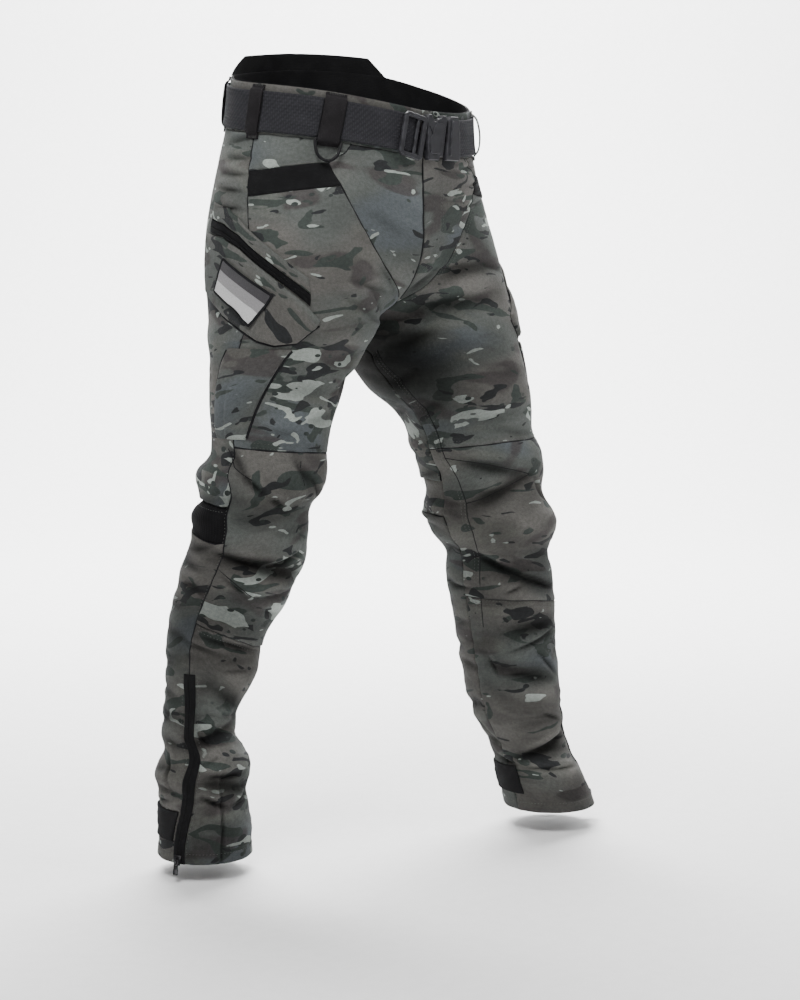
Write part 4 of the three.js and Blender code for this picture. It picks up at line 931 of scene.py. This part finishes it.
for leg in "RL":
    camo = (CAMO, "camouflage_cloth")
    black = (TAPE, "black_trim")
    place, stops = between(WELT)
    make_patch(f"welt_{leg}", leg, place, finer(stops, 0.02), bar_edges(7), 0.1, 2.3, *camo,
               node=f"cargo_welt_{leg}", roll=1.4)
    place, stops = between(ZIP)
    rows = np.array([0, 0.06, 0.15, 0.3, 0.4, 0.46, 0.5, 0.54, 0.6, 0.7, 0.85, 0.94, 1])
    make_patch(f"pocket_zip_{leg}", leg, place, finer(stops, 0.02), rows, 0.1, 1.8, *black,
               node=f"cargo_zip_{leg}", swell=zip_swell, roll=1.0)
    place, stops = between(FLAP)
    make_patch(f"pocket_flap_{leg}", leg, place, finer(stops, 0.016, 0.006),
               spread(1, 26, (0.006, 0.02, 0.05)), 0.2, 2.9, *camo, node=f"cargo_front_{leg}",
               swell=flap_swell, roll=1.6)
    make_patch(f"pocket_bag_{leg}", leg, bag_place, spread(1, 30, (0.008, 0.02, 0.05)),
               spread(1, 40, (0.006, 0.015, 0.04)), 0.1, 1.6, *camo, node=f"cargo_bag_{leg}",
               swell=bag_swell, roll=1.4)

    def zip_place(P, Q, leg=leg):
        z = ZIP_TOP + (HEM[leg] - ZIP_TOP) * P
        return smooth(OUTSEAM, 1, z) + (Q - 0.5) * 14 / (2 * math.pi * 52), z

    make_patch(f"ankle_tape_{leg}", leg, zip_place, spread(1, 90, (0.002, 0.005, 0.01)), rows,
               0.1, 1.9, *black, node=f"ankle_zip_{leg}", swell=zip_swell, roll=1.0)

    def strap_place(P, Q, leg=leg):
        top, low = (-824, -860) if leg == "R" else (-820, -855)
        z = top + (low - top) * Q
        first = smooth(OUTSEAM, 1, z) + 0.03
        return first + (1.04 - first) * P, z

    make_patch(f"strap_{leg}", leg, strap_place, spread(1, 90, (0.002, 0.005, 0.01)),
               spread(1, 9, (0.012, 0.035, 0.07)), 0.1, 2.5, BLACK, "black_trim",
               node=f"hem_strap_{leg}", roll=1.2)


def turn_length(leg, t, z, reach):
    """Millimetres round the garment for a whole turn of t, measured over reach on both sides."""
    ends = plain(leg, t + reach, z) - plain(leg, t - reach, z)
    return float(np.linalg.norm(ends)) / (2 * reach)


# Patch on the right pocket flap, with its stitched border
per_turn = turn_length("R", PATCH_T, PATCH_Z, 0.02)


def patch_at(a, b):
    """t and z from millimetres along and up the patch, from its middle."""
    across = -a * math.cos(PATCH_SLOPE) - b * math.sin(PATCH_SLOPE)
    up = -a * math.sin(PATCH_SLOPE) + b * math.cos(PATCH_SLOPE)
    return PATCH_T + across / per_turn, PATCH_Z + up


def patch_place(P, Q):
    return patch_at((P - 0.5) * (PATCH_SIZE[0] - 2), (0.5 - Q) * (PATCH_SIZE[1] - 2))


def patch_piece():
    ps, qs = spread(1, 24, (0.01, 0.03)), spread(1, 14, (0.02, 0.05))
    P, Q = np.meshgrid(ps, qs)
    T, Z = patch_place(P, Q)
    base = skin("R", T, Z)
    n = outward("R", T, Z)
    sign = 1 if np.dot(grid_normals(base, 1)[5, 5], n[5, 5]) > 0 else -1
    uv = np.stack([P * (PATCH_SIZE[0] - 2), (1 - Q) * (PATCH_SIZE[1] - 2)], -1)
    piece = make_shell("patch_panel", base + PATCH_HIGH * n, base + (PATCH_HIGH - PATCH_THICK) * n,
                       sign, uv, PATCH_CLOTH, slot="patch_cloth", node="patch",
                       height=np.zeros(T.shape))
    return piece, base


def tube(points, radius, sides=8, flat=1.0, ups=None, closed=True):
    """Vertices and faces of a rod along points; flat squeezes it along ups."""
    points = np.asarray(points, float)
    ahead = np.roll(points, -1, 0) - np.roll(points, 1, 0)
    if not closed:
        ahead[0], ahead[-1] = points[1] - points[0], points[-1] - points[-2]
    ahead = unit(ahead)
    ups = unit(ups - (ups * ahead).sum(-1, keepdims=True) * ahead)
    sideways = np.cross(ahead, ups)
    a = np.linspace(0, 2 * np.pi, sides, endpoint=False)
    across, up = np.cos(a)[None, :, None], flat * np.sin(a)[None, :, None]
    ring = points[:, None] + np.reshape(radius, (-1, 1, 1)) * (
        across * sideways[:, None] + up * ups[:, None]
    )
    count = len(points)
    faces = []
    for i in range(count if closed else count - 1):
        j = (i + 1) % count
        for k in range(sides):
            m = (k + 1) % sides
            faces.append((i * sides + k, i * sides + m, j * sides + m, j * sides + k))
    if not closed:
        faces += [tuple(range(sides))[::-1], tuple(range((count - 1) * sides, count * sides))]
    return ring.reshape(-1, 3), faces


border = []
half_w, half_h, corner = PATCH_SIZE[0] / 2 - 1.2, PATCH_SIZE[1] / 2 - 1.2, 1.6
for cx, cy, turn in ((1, 1, 0), (-1, 1, 90), (-1, -1, 180), (1, -1, 270)):
    for angle in np.radians(np.linspace(turn, turn + 90, 5)):
        border.append((cx * (half_w - corner) + corner * math.cos(angle),
                       cy * (half_h - corner) + corner * math.sin(angle)))
border = np.array(border)
loop = np.vstack([border, border[:1]])
at = arc_length(loop)
around = np.linspace(0, at[-1], 300, endpoint=False)
ring_a, ring_b = np.interp(around, at, loop[:, 0]), np.interp(around, at, loop[:, 1])
T, Z = patch_at(ring_a, ring_b)
n = outward("R", T, Z)
bump = BORDER_HIGH + 0.18 * np.sin(np.arange(300) * 2 * math.pi / 3)
vertices, faces = tube(skin("R", T, Z) + bump[:, None] * n, 1.7, 8, 0.6, n)
patch_border = make_piece("patch_border", vertices, faces, DARK_THREAD_AND_SHADE, slot="patch_cloth")
patch_panel, base = patch_piece()
declare(patch_panel, base)


# Stitches: short raised dashes along a line of t and z
STITCH_PARTS = 14
STITCH_WIDE = 0.5
stitch_sets = {}


def refine(line, parts):
    """The points of a line of t and z, with each stretch of it cut into equal parts."""
    line = np.asarray(line, float)
    steps = np.linspace(0, 1, parts, endpoint=False)[:, None]
    return np.concatenate([*(a + (b - a) * steps for a, b in zip(line[:-1], line[1:])), line[-1:]])


def stitch(key, leg, line, high, dash=2.7, gap=1.3, surface=skin):
    fine = refine(line, STITCH_PARTS)
    p = surface(leg, fine[:, 0], fine[:, 1])
    n = outward(leg, fine[:, 0], fine[:, 1])
    p = p + (high if np.ndim(high) == 0 else np.asarray(high)[:, None]) * n
    arc = arc_length(p)
    starts = np.arange(gap, arc[-1] - dash, dash + gap)
    pick = lambda s, grid: np.stack([np.interp(s, arc, grid[:, c]) for c in range(3)], -1)
    for s in starts:
        a, m, b = (pick(v, p) for v in (s, s + dash / 2, s + dash))
        up = unit(pick(s, n))
        ahead = unit(b - a)
        wide = np.cross(up, ahead) * STITCH_WIDE / 2
        stitch_sets.setdefault(key, []).append(
            (a - 0.25 * up, m + 0.22 * up + wide, b - 0.25 * up, m + 0.22 * up - wide,
             m - 0.3 * up)
        )


def offset_line(leg, line, distance):
    """A line of t and z moved sideways on the surface, in millimetres."""
    line = np.asarray(line, float)
    p = plain(leg, line[:, 0], line[:, 1])
    ahead = unit(np.gradient(p, axis=0))
    aside = np.cross(outward(leg, line[:, 0], line[:, 1]), ahead)
    t, z = line.T
    dt = (plain(leg, t + 0.004, z) - plain(leg, t - 0.004, z)) / 0.008
    dz = (plain(leg, t, z + 1) - plain(leg, t, z - 1)) / 2
    moved = []
    for k in range(len(line)):
        basis = np.stack([dt[k], dz[k]], 1)
        step, *_ = np.linalg.lstsq(basis, aside[k] * distance, rcond=None)
        moved.append(line[k] + step)
    return np.array(moved)


def seam_line(leg, row, start, end, count=24):
    t = np.linspace(start, end, count)
    return np.stack([t, row_z(leg, row, t)], -1)


def edge_line(leg, start, end, t_of, count=40):
    rows = np.linspace(start, end, count)
    t = np.array([t_of(r) for r in rows])
    return np.stack([t, [row_z(leg, r, v) for r, v in zip(rows, t)]], -1)


FLAP_STITCHES = (
    [(0.603, -226), (0.54, -250.5), (0.495, -262), (0.438, -277), (0.4, -281.5), (0.363, -278.5),
     (0.35, -264)],
    [(0.60, -164), (0.54, -170), (0.495, -183.5), (0.438, -212.5), (0.4, -233), (0.365, -251.5)],
)


# Dark ribbons painted as shade where a seam, a tuck or a crease closes on itself, and as shadow
# under edges
def painted_shade_ribbon(name, leg, line, width=1.3, high=0.12, taper=False, surface=skin):
    fine = refine(line, 10)
    n = outward(leg, fine[:, 0], fine[:, 1])
    p = surface(leg, fine[:, 0], fine[:, 1]) + high * n
    half = np.full(len(p), width / 2)
    if taper:
        half *= np.maximum(0.12, np.sin(np.linspace(0, np.pi, len(p))) ** 0.7)
    vertices, faces = tube(p, half, 6, 0.35, n, closed=False)
    make_piece(f"seam_{name}_{leg}", vertices, faces, DARK_THREAD_AND_SHADE, slot="black_trim")


for leg in "RL":
    side = side_of(leg)
    key = f"stitches_{leg}"
    away_side = 1 if leg == "L" else -1

    def topstitch(line, aways, high, key=key, leg=leg, away_side=away_side):
        for away in aways:
            stitch(key, leg, offset_line(leg, line, away_side * away), high)

    slant_line = edge_line(leg, WAIST_ROW, 9.7, slant_t, 44)
    topstitch(slant_line, (2.2, 7.4), 0.25)
    topstitch(edge_line(leg, WAIST_ROW, SHIN_ROW - 0.5, side, 90), (1.8,), 0.25)
    topstitch(seam_line(leg, KNEE_ROW, 0.02, side(KNEE_ROW) - 0.01), (2.2, 7.6), 0.25)
    topstitch(seam_line(leg, SHIN_ROW, 0.02, side(SHIN_ROW) - 0.01), (-2.2, -7.2), 0.7)
    topstitch(seam_line(leg, BEND_ROW, side(BEND_ROW) + 0.01, 0.985), (-6,), 2.9)
    seams = {
        "knee_top": seam_line(leg, KNEE_ROW, 0, side(KNEE_ROW)),
        "knee_low": seam_line(leg, SHIN_ROW, 0, side(SHIN_ROW)),
        "bend_top": seam_line(leg, BEND_ROW, side(BEND_ROW), 1),
        "bend_low": seam_line(leg, CALF_ROW, side(CALF_ROW), 1),
        "outseam": edge_line(leg, WAIST_ROW + 0.1, HEM_ROW, side, 90),
        "slant": slant_line,
    }
    # Painted shade along each seam: a dark ribbon set into the gap between the panels
    for name, line in seams.items():
        painted_shade_ribbon(name, leg, line, width=1.7, high=-0.45)
    hem_line = np.stack([np.linspace(0.0, 1.0, 60), np.full(60, HEM[leg] + 12)], -1)
    stitch(key, leg, hem_line, 0.62)
    place, stops = between(WELT)
    for q in (0.2, 0.42):
        t, z = place(np.linspace(0.02, 0.98, 24), np.full(24, q))
        stitch(key, leg, np.stack([t, z], -1), 2.35)
    for line in FLAP_STITCHES:
        lift = np.linspace(0, 1, STITCH_PARTS * (len(line) - 1) + 1)
        stitch(key, leg, line, 3.2 + 1.9 * np.sin(np.pi * lift) ** 0.5)
    # Painted shade along the rear and front edges of the pocket bag
    for p_edge, name, width in ((-0.01, "bag_rear", 3.4), (1.02, "bag_front", 1.9)):
        t, z = bag_place(np.full(12, p_edge), np.linspace(0.02, 0.98, 12))
        painted_shade_ribbon(name, leg, np.stack([t, z], -1), width=width, high=0.6)
    # Painted shadow just under the lower edge of the pocket flap
    under = FLAP[1:, [0, 2]] + (0, -1.0)
    painted_shade_ribbon("flap_edge", leg, np.vstack([(0.606, -227), under, (0.338, -264)]), width=2.4, high=0.4)
    # On the right leg, painted shade along the fly seam
    if leg == "R":
        fly_seam = [(0.002, z) for z in (-58, -120, -180, -240, -256)]
        painted_shade_ribbon("centre", leg, fly_seam, width=2.6, high=0.15)
    tape_z = np.linspace(ZIP_TOP, HEM[leg] + 4, 40)
    tape = np.stack([smooth(OUTSEAM, 1, tape_z), tape_z], -1)
    for away in (9.5, -9.5):
        stitch(key, leg, offset_line(leg, tape, away), 0.3)

DARTS = {
    "R": {
        "dart_rear": [(0.488, -405), (0.472, -414), (0.45, -425), (0.42, -433), (0.395, -439)],
        "dart_front": [(0.272, -419), (0.268, -428), (0.262, -438), (0.255, -447)],
        "tuck": [(0.43, -541), (0.40, -549), (0.365, -559), (0.33, -569), (0.30, -575)],
    },
    "L": {
        "dart_high": [(0.039, -429), (0.09, -433), (0.15, -438), (0.21, -444), (0.258, -450)],
        "dart_low": [(0.068, -484), (0.12, -477), (0.18, -467), (0.225, -458), (0.258, -450)],
        "inner": [(0.02, -300), (0.035, -345), (0.04, -385), (0.039, -429), (0.055, -458),
                  (0.068, -484), (0.07, -520), (0.062, -560), (0.055, -600), (0.05, -640)],
    },
}
# Painted shade in the darts and tucks, and along the left inner seam
for leg, lines in DARTS.items():
    for name, line in lines.items():
        painted_shade_ribbon(name, leg, line, width=1.2, high=0.05, taper=name == "tuck")
# Painted shade in the deepest sharp creases, tapered at both ends
for leg, table in MARKS.items():
    for number, (t, z, slope, length, width, depth) in enumerate(table):
        if depth <= -3.5 and abs(slope) < 200:
            along = np.linspace(-0.62, 0.62, 7) * length
            line = np.stack([t + along, z + slope * along], -1)
            painted_shade_ribbon(f"crease_{number}", leg, line, width=2.2, high=0.0, taper=True)
fly = [(0.052, -56), (0.055, -90), (0.058, -120), (0.056, -150), (0.047, -175), (0.03, -193),
       (0.01, -203)]
for line, aways in ((DARTS["L"]["inner"], (-2.2, -7.0)), (fly, (0, 5))):
    for away in aways:
        stitch("stitches_L", "L", offset_line("L", line, away), 0.3)


def make_stitches(key, quads):
    vertices, faces = [], []
    for k, corners in enumerate(quads):
        vertices.extend(corners)
        a, b, c, d, e = (5 * k + i for i in range(5))
        faces += [(a, b, d), (b, c, d), (a, d, e), (d, c, e), (c, b, e), (b, a, e)]
    return make_piece(key, np.array(vertices), faces, THREAD, slot="camouflage_cloth")


# Waist: the band, its black facing, and the raised back
def waist_grid(stops, heights):
    """Points and outward directions round the waist, from the right front over the back."""
    points, normals = [], []
    for leg, t in stops:
        zs = np.array([height(t, leg) for height in heights], float)
        p = plain(leg, np.full(len(zs), t), zs)
        n = outward(leg, np.full(len(zs), t), zs)
        if t < 0.002 or t > 0.998:
            n[:, 0] = 0
            n = unit(n)
        if t < 0.002:
            p[:, 0] = (-1 if leg == "R" else 1) * SEAM / 2
        points.append(p)
        normals.append(n)
    return np.array(points).transpose(1, 0, 2), np.array(normals).transpose(1, 0, 2)


def ring_stops(first_t, last_t, count):
    """Stops from the right leg's first_t over the centre back to the left leg's last_t."""
    ts = np.linspace(first_t, 2 - last_t, count)
    return [("R", t) if t <= 1 else ("L", 2 - t) for t in ts]


def make_ring(name, stops, heights, high, wall, material, slot, node, roll=0.5, wave=None):
    """A band round the waist; high is its outer face over the plain garment."""
    points, n = waist_grid(stops, heights)
    rows, columns = points.shape[:2]
    fall, run = arc_length(points[:, columns // 2]), arc_length(points[rows // 2])
    F, S = np.meshgrid(fall, run, indexing="ij")
    edge = np.minimum(F, fall[-1] - F)
    rounding = roll * np.exp(-((edge / 0.8) ** 2))
    out = high - rounding
    if wave is not None:
        out = out + wave(S, F)
    outer = points + out[..., None] * n
    inner = points + (high - wall + 0.3 * rounding)[..., None] * n
    uv = np.stack([S, -F], -1)
    piece = make_shell(name, outer, inner, 1, uv, material, slot=slot, node=node,
                       height=np.zeros(F.shape))
    declare(piece, points)
    return piece


def level(z):
    return lambda t, leg: z


def band_wave(S, F):
    return 0.35 * np.sin(S / 9.0) * np.sin(S / 31.0 + 1) * np.exp(-F / 9)


heights = [level(-v) for v in spread(BAND_HEIGHT - SEAM / 2, 14)]
make_ring("waistband_cloth", ring_stops(0, 0, 300), heights, 0.0, 1.3, CAMO, "camouflage_cloth",
          "waistband", wave=band_wave)

# The raised back: where it starts, where it has its full height, and that height
BACK_FROM = 0.715
BACK_FULL = {"R": 0.83, "L": 0.765}
BACK_RISE = 20.0
FACING_DEPTH = 52.0


def facing_height(v):
    """The facing's stops stand just over the band, and cover its top under the raised back."""
    def height(t, leg):
        cover = 0.4 * (t > BACK_FROM - 0.01) * (v < 1)
        return 0.6 * (1 - v / FACING_DEPTH) + cover - v

    return height


def back_height(u):
    def height(t, leg):
        part = float(np.clip((t - BACK_FROM) / (BACK_FULL[leg] - BACK_FROM), 0, 1))
        return (1.3 + BACK_RISE * part) * (1 - u) + 0.3 * u

    return height


heights = [facing_height(v) for v in spread(FACING_DEPTH, 10)]
make_ring("facing_cloth", ring_stops(0, 0, 260), heights, -1.5, 2.2, BLACK, "black_trim",
          "waist_facing")
heights = [back_height(u) for u in spread(1, 8, (0.02, 0.06, 0.1))]
make_ring("back_rise_cloth", ring_stops(BACK_FROM, BACK_FROM, 161), heights, -0.2, 1.1, BLACK,
          "black_trim", "back_rise")

# Belt
per_mm = 0.04 / float(np.linalg.norm(plain("L", 0.02, -30) - plain("R", 0.02, -30)))


def belt_wave(S, F):
    return 0.25 * np.sin(S / 23.0 + 0.6) + 0.18 * np.sin(S / 57.0 + F / 40.0)


heights = [level(BELT_TOP - v) for v in spread(BELT_TOP - BELT_LOW, 12)]
make_ring("belt_webbing", ring_stops(8 * per_mm, 42 * per_mm, 360), heights, BELT_FACE,
          BELT_THICK, WEB, "belt_webbing", "belt", roll=0.8, wave=belt_wave)


# Belt loops
STRAP = [(-1, 2.0), (-4.6, 2.0), (-6.2, 5.4), (-9, 6.4), (-30, 6.7), (-50, 6.4), (-54.4, 5.4),
         (-56.2, 2.0), (-61, 2.0)]
RING_STRAP = [(-1, 2.0), (-4.6, 2.0), (-6.2, 5.4), (-9, 6.4), (-30, 6.9), (-54, 7.2), (-57.2, 7.1),
              (-59.2, 4.6), (-60.2, 2.2), (-61.8, 2.0)]
LOOP_MIDDLE = -30.0
LEAN_END = -50.0
LOOP_WALL = 1.3


def loop_t(middle_t, lean, z):
    """t of a leaning loop's middle at a height."""
    return middle_t + lean * (LOOP_MIDDLE - np.maximum(z, LEAN_END)) / 50


def make_loop(name, leg, middle_t, width, lean, stand):
    ring = "ring" in name
    path = np.array(RING_STRAP if ring else STRAP, float)
    arc = arc_length(path)
    s = np.linspace(0, arc[-1], 44)
    z, out = np.interp(s, arc, path[:, 0]), np.interp(s, arc, path[:, 1])
    kernel = np.array([1, 2, 3, 2, 1]) / 9
    out = np.convolve(np.pad(out, 2, mode="edge"), kernel, "valid")
    out = out + stand * np.clip(1 - ((z - LOOP_MIDDLE) / 23) ** 2, 0, 1) ** 0.7
    half = width / 2 / turn_length(leg, middle_t, LOOP_MIDDLE, 0.01)
    Z, X = np.meshgrid(z, spread(2, 6, (0.05, 0.12, 0.25)) - 1, indexing="ij")
    T = loop_t(middle_t, lean, Z) + X * half
    base = plain(leg, T, Z)
    n = outward(leg, T, Z)
    high = (out[:, None] - 0.5 * np.exp(-(((1 - np.abs(X)) / 0.08) ** 2)))[..., None]
    uv = np.stack([X * width / 2, -np.broadcast_to(s[:, None], X.shape)], -1)
    cloth, slot = LOOP_CLOTH, "black_trim"
    if name == "loop_front_L":
        cloth, slot = CAMO, "camouflage_cloth"
    piece = make_shell(f"strap_{name}", base + high * n, base + (high - LOOP_WALL) * n,
                       1 if leg == "R" else -1, uv, cloth, slot=slot, node=name,
                       height=np.zeros(T.shape))
    declare(piece, base)
    # Painted shadow along both sides of each loop
    for side_name, away in (("front", -1), ("rear", 1)):
        line = [(loop_t(middle_t, lean, v) + away * 1.06 * half, v) for v in (-9, -22, -36, -52)]
        painted_shade_ribbon(f"{name}_{side_name}", leg, line, width=1.6, high=BELT_FACE + 0.15, surface=plain)
    for top, low in ((-0.5, -3.8),) if ring else ((-0.5, -3.8), (-57.5, -60.5)):
        for k in range(5):
            tack_z = top + (low - top) * (k + 0.5) / 5
            tack_t = loop_t(middle_t, lean, tack_z)
            line = [(tack_t - 0.8 * half, tack_z), (tack_t + 0.8 * half, tack_z)]
            stitch("bartacks", leg, line, 2.05, dash=1.6, gap=0.4, surface=plain)


for row in LOOPS:
    make_loop(*row)
for key, quads in stitch_sets.items():
    make_stitches(key, quads)


# Buckle: parts placed on the belt, x along it, y up and z out of it
def frame_at(leg, t, z, out):
    n = outward(leg, t, z)
    across = plain(leg, t + 0.01, z) - plain(leg, t - 0.01, z)
    if leg == "R":
        across = -across
    along = unit(across - n * np.dot(across, n))
    up = np.cross(n, along)
    origin = plain(leg, t, z) + n * out
    return np.array(origin), np.stack([along, up, n])


def at_front(x, out, z=-30.5):
    return frame_at("R" if x < 0 else "L", abs(x) * per_mm, z, out)


def moulded(name, place, outline, depth, bevel, node=None, holes=()):
    """A moulded part: an outline with holes, drawn out and rounded along its edges."""
    origin, axes = place
    curve = bpy.data.curves.new(name, "CURVE")
    curve.dimensions = "2D"
    curve.fill_mode = "BOTH"
    for ring in (outline, *holes):
        spline = curve.splines.new("POLY")
        spline.points.add(len(ring) - 1)
        for point, (x, y) in zip(spline.points, ring):
            point.co = (x / 1000, y / 1000, 0, 1)
        spline.use_cyclic_u = True
    curve.extrude = (depth / 2 - bevel) / 1000
    curve.bevel_depth = bevel / 1000
    curve.bevel_resolution = 3
    curve.offset = -bevel / 1000
    source = add(name, curve)
    mesh = bpy.data.meshes.new_from_object(source)
    bpy.data.objects.remove(source)
    points = np.zeros(len(mesh.vertices) * 3)
    mesh.vertices.foreach_get("co", points)
    points = points.reshape(-1, 3) * 1000
    points[:, 2] += depth / 2
    points = origin + points @ axes
    mesh.vertices.foreach_set("co", (points / 1000).ravel())
    mesh.materials.clear()
    mesh.materials.append(PLASTIC)
    mesh.polygons.foreach_set("use_smooth", [False] * len(mesh.polygons))
    piece = add(name, mesh)
    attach(piece, "trousers")
    if node:
        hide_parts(node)
    return piece


def box(x0, y0, x1, y1):
    return [(x0, y0), (x1, y0), (x1, y1), (x0, y1)]


def turned(place, degrees):
    origin, axes = place
    a = math.radians(degrees)
    along = axes[0] * math.cos(a) + axes[1] * math.sin(a)
    return origin, np.stack([along, axes[1] * math.cos(a) - axes[0] * math.sin(a), axes[2]])


def groove_shade_line(name, place, line, width):
    """A dark line painted as the shade of a groove in the face of a moulded part."""
    origin, axes = place
    points = np.array([origin + np.array([x, y, 0]) @ axes for x, y in line])
    steps = np.linspace(0, len(line) - 1, 6 * (len(line) - 1) + 1)
    points = np.stack([np.interp(steps, range(len(line)), points[:, c]) for c in range(3)], -1)
    up = np.broadcast_to(axes[2], points.shape)
    vertices, faces = tube(points, width / 2, 6, 0.5, up, closed=False)
    make_piece(name, vertices, faces, DARK_THREAD_AND_SHADE, slot="buckle_plastic")


over = BELT_FACE + 1.0
moulded("adjuster", turned(at_front(-21, over, -33), -6), [
    (-17, -21), (-13, -25.5), (13, -25.5), (17, -22), (17, 22), (13, 25.5), (-13, 25.5), (-17, 21),
], 4.6, 1.3, "buckle_frame", holes=[box(-11.5, -20, 11, 20)])
bar_place = turned(at_front(-21, over + 0.3, -33), -6)
moulded("adjuster_bar", bar_place, box(3, -21, 7, 21), 2.4, 0.7)
moulded("clasp", at_front(16, BELT_RISE + 0.6), [
    (-18, -23), (-16, -26), (1, -26), (3, -22), (8, -22), (16, 21), (15, 25.5), (8, 25.5),
    (6, 22), (-1, 21), (-3, 18), (-6, 18), (-8, 21), (-11, 25.5), (-16, 25.5), (-18, 22),
], 8.4, 1.3, "buckle_plate")
moulded("clasp_panel", at_front(15, BELT_RISE + 8.4), [
    (-14, -15), (-11, -19), (3, -19), (6, -14), (11, 13), (9, 16), (-1, 16), (-6, 12), (-9, 4),
    (-14, -2),
], 1.4, 0.5)
# Painted shade in the clasp's slanted groove
groove_shade_line("clasp_line", at_front(16, BELT_RISE + 9.2),
       [(-16, 12), (-12, 6), (-10.5, 2), (-13.5, -6), (-15, -18)], 1.2)
moulded("clasp_end", at_front(44.5, over), [
    (-17, -22), (-18, -25.5), (10, -25.5), (13, -21), (13, 21), (10, 25), (-6, 25), (-9, 21),
], 6.2, 1.3, "buckle_end")
moulded("clasp_rib", at_front(44.5, over + 5.6),
        [(-11.5, -20), (-8.5, -20), (-1.5, 20), (-4.5, 20)], 2.2, 0.8)

# The ring, the sliders and the pulls stay as they are, in better materials
for node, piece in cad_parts.items():
    material = RING_METAL if node == "d_ring" else ZIP_METAL
    if node == "d_ring" or "slider" in node or "pull" in node:
        for place in piece.material_slots:
            place.material = material


# Floor with a curved backdrop, light and camera
def floor_material():
    s = Shader("floor", (0.9, 0.9, 0.9))
    grain = s.noise(s.node("TexCoord", out=3), scale=60.0, detail=2.0)
    color = s.mix(s.step(grain, 0.3, 0.7), (0.80, 0.80, 0.80), (0.82, 0.82, 0.82))
    return s.finish(color, 0.6, grain, 0.00002, specular=0.1)


# In metres: the floor's height, front end and half width, and the wall's foot, curve and top
FLOOR_Z = -0.905
FLOOR_FRONT = -9.0
FLOOR_HALF = 7.0
WALL_FROM = 2.6
WALL_CURVE = 1.4
WALL_TOP = 3.6


def make_floor():
    """A floor in front that curves up into a wall behind, square to the camera's direction."""
    away = np.array([1, 1, 0]) / math.sqrt(2)
    aside = np.array([1, -1, 0]) / math.sqrt(2)
    profile = [(FLOOR_FRONT, FLOOR_Z), (WALL_FROM, FLOOR_Z)]
    for a in np.radians(range(6, 91, 6)):
        z = FLOOR_Z + WALL_CURVE - WALL_CURVE * math.cos(a)
        profile.append((WALL_FROM + WALL_CURVE * math.sin(a), z))
    profile.append((WALL_FROM + WALL_CURVE, WALL_TOP))
    rows = [away * d + np.array([0, 0, z]) for d, z in profile]
    vertices = [row + aside * w for row in rows for w in (-FLOOR_HALF, FLOOR_HALF)]
    faces = [(2 * k, 2 * k + 1, 2 * k + 3, 2 * k + 2) for k in range(len(rows) - 1)]
    floor = bpy.data.meshes.new("floor")
    floor.from_pydata([tuple(v) for v in vertices], [], faces)
    floor.polygons.foreach_set("use_smooth", [True] * len(faces))
    floor.materials.append(floor_material())
    add("floor", floor)


make_floor()
world = bpy.data.worlds.new("studio")
world.use_nodes = True
world.node_tree.nodes["Background"].inputs[0].default_value = (1, 1, 1, 1)
world.node_tree.nodes["Background"].inputs[1].default_value = 0.28
bpy.context.scene.world = world


def aim(thing, place, target):
    thing.location = place
    thing.rotation_euler = (Vector(target) - Vector(place)).to_track_quat("-Z", "Y").to_euler()


def area_light(name, place, target, size, power):
    lamp = bpy.data.lights.new(name, "AREA")
    lamp.shape = "RECTANGLE"
    lamp.size, lamp.size_y = size
    lamp.energy = power
    aim(add(name, lamp), place, target)


area_light("key", (-1.3, -0.7, 1.8), (0, 0, -0.25), (1.0, 1.0), 66)
area_light("fill", (1.1, -2.0, 1.4), (0, 0, -0.3), (1.2, 1.2), 24)
area_light("backdrop_high", (1.5, 1.5, 2.2), (2.6, 2.6, -0.6), (3.0, 1.2), 520)
area_light("backdrop_low", (1.2, 1.2, 1.6), (1.3, 1.3, -1.0), (2.4, 1.0), 125)

lens = bpy.data.cameras.new("camera")
lens.lens = 76.9
lens.sensor_width = 36
lens.clip_start, lens.clip_end = 0.1, 50
camera = add("camera", lens)
aim(camera, (-1.7704, -1.8484, -0.187), (-0.014, -0.092, -0.470))
bpy.context.scene.camera = camera
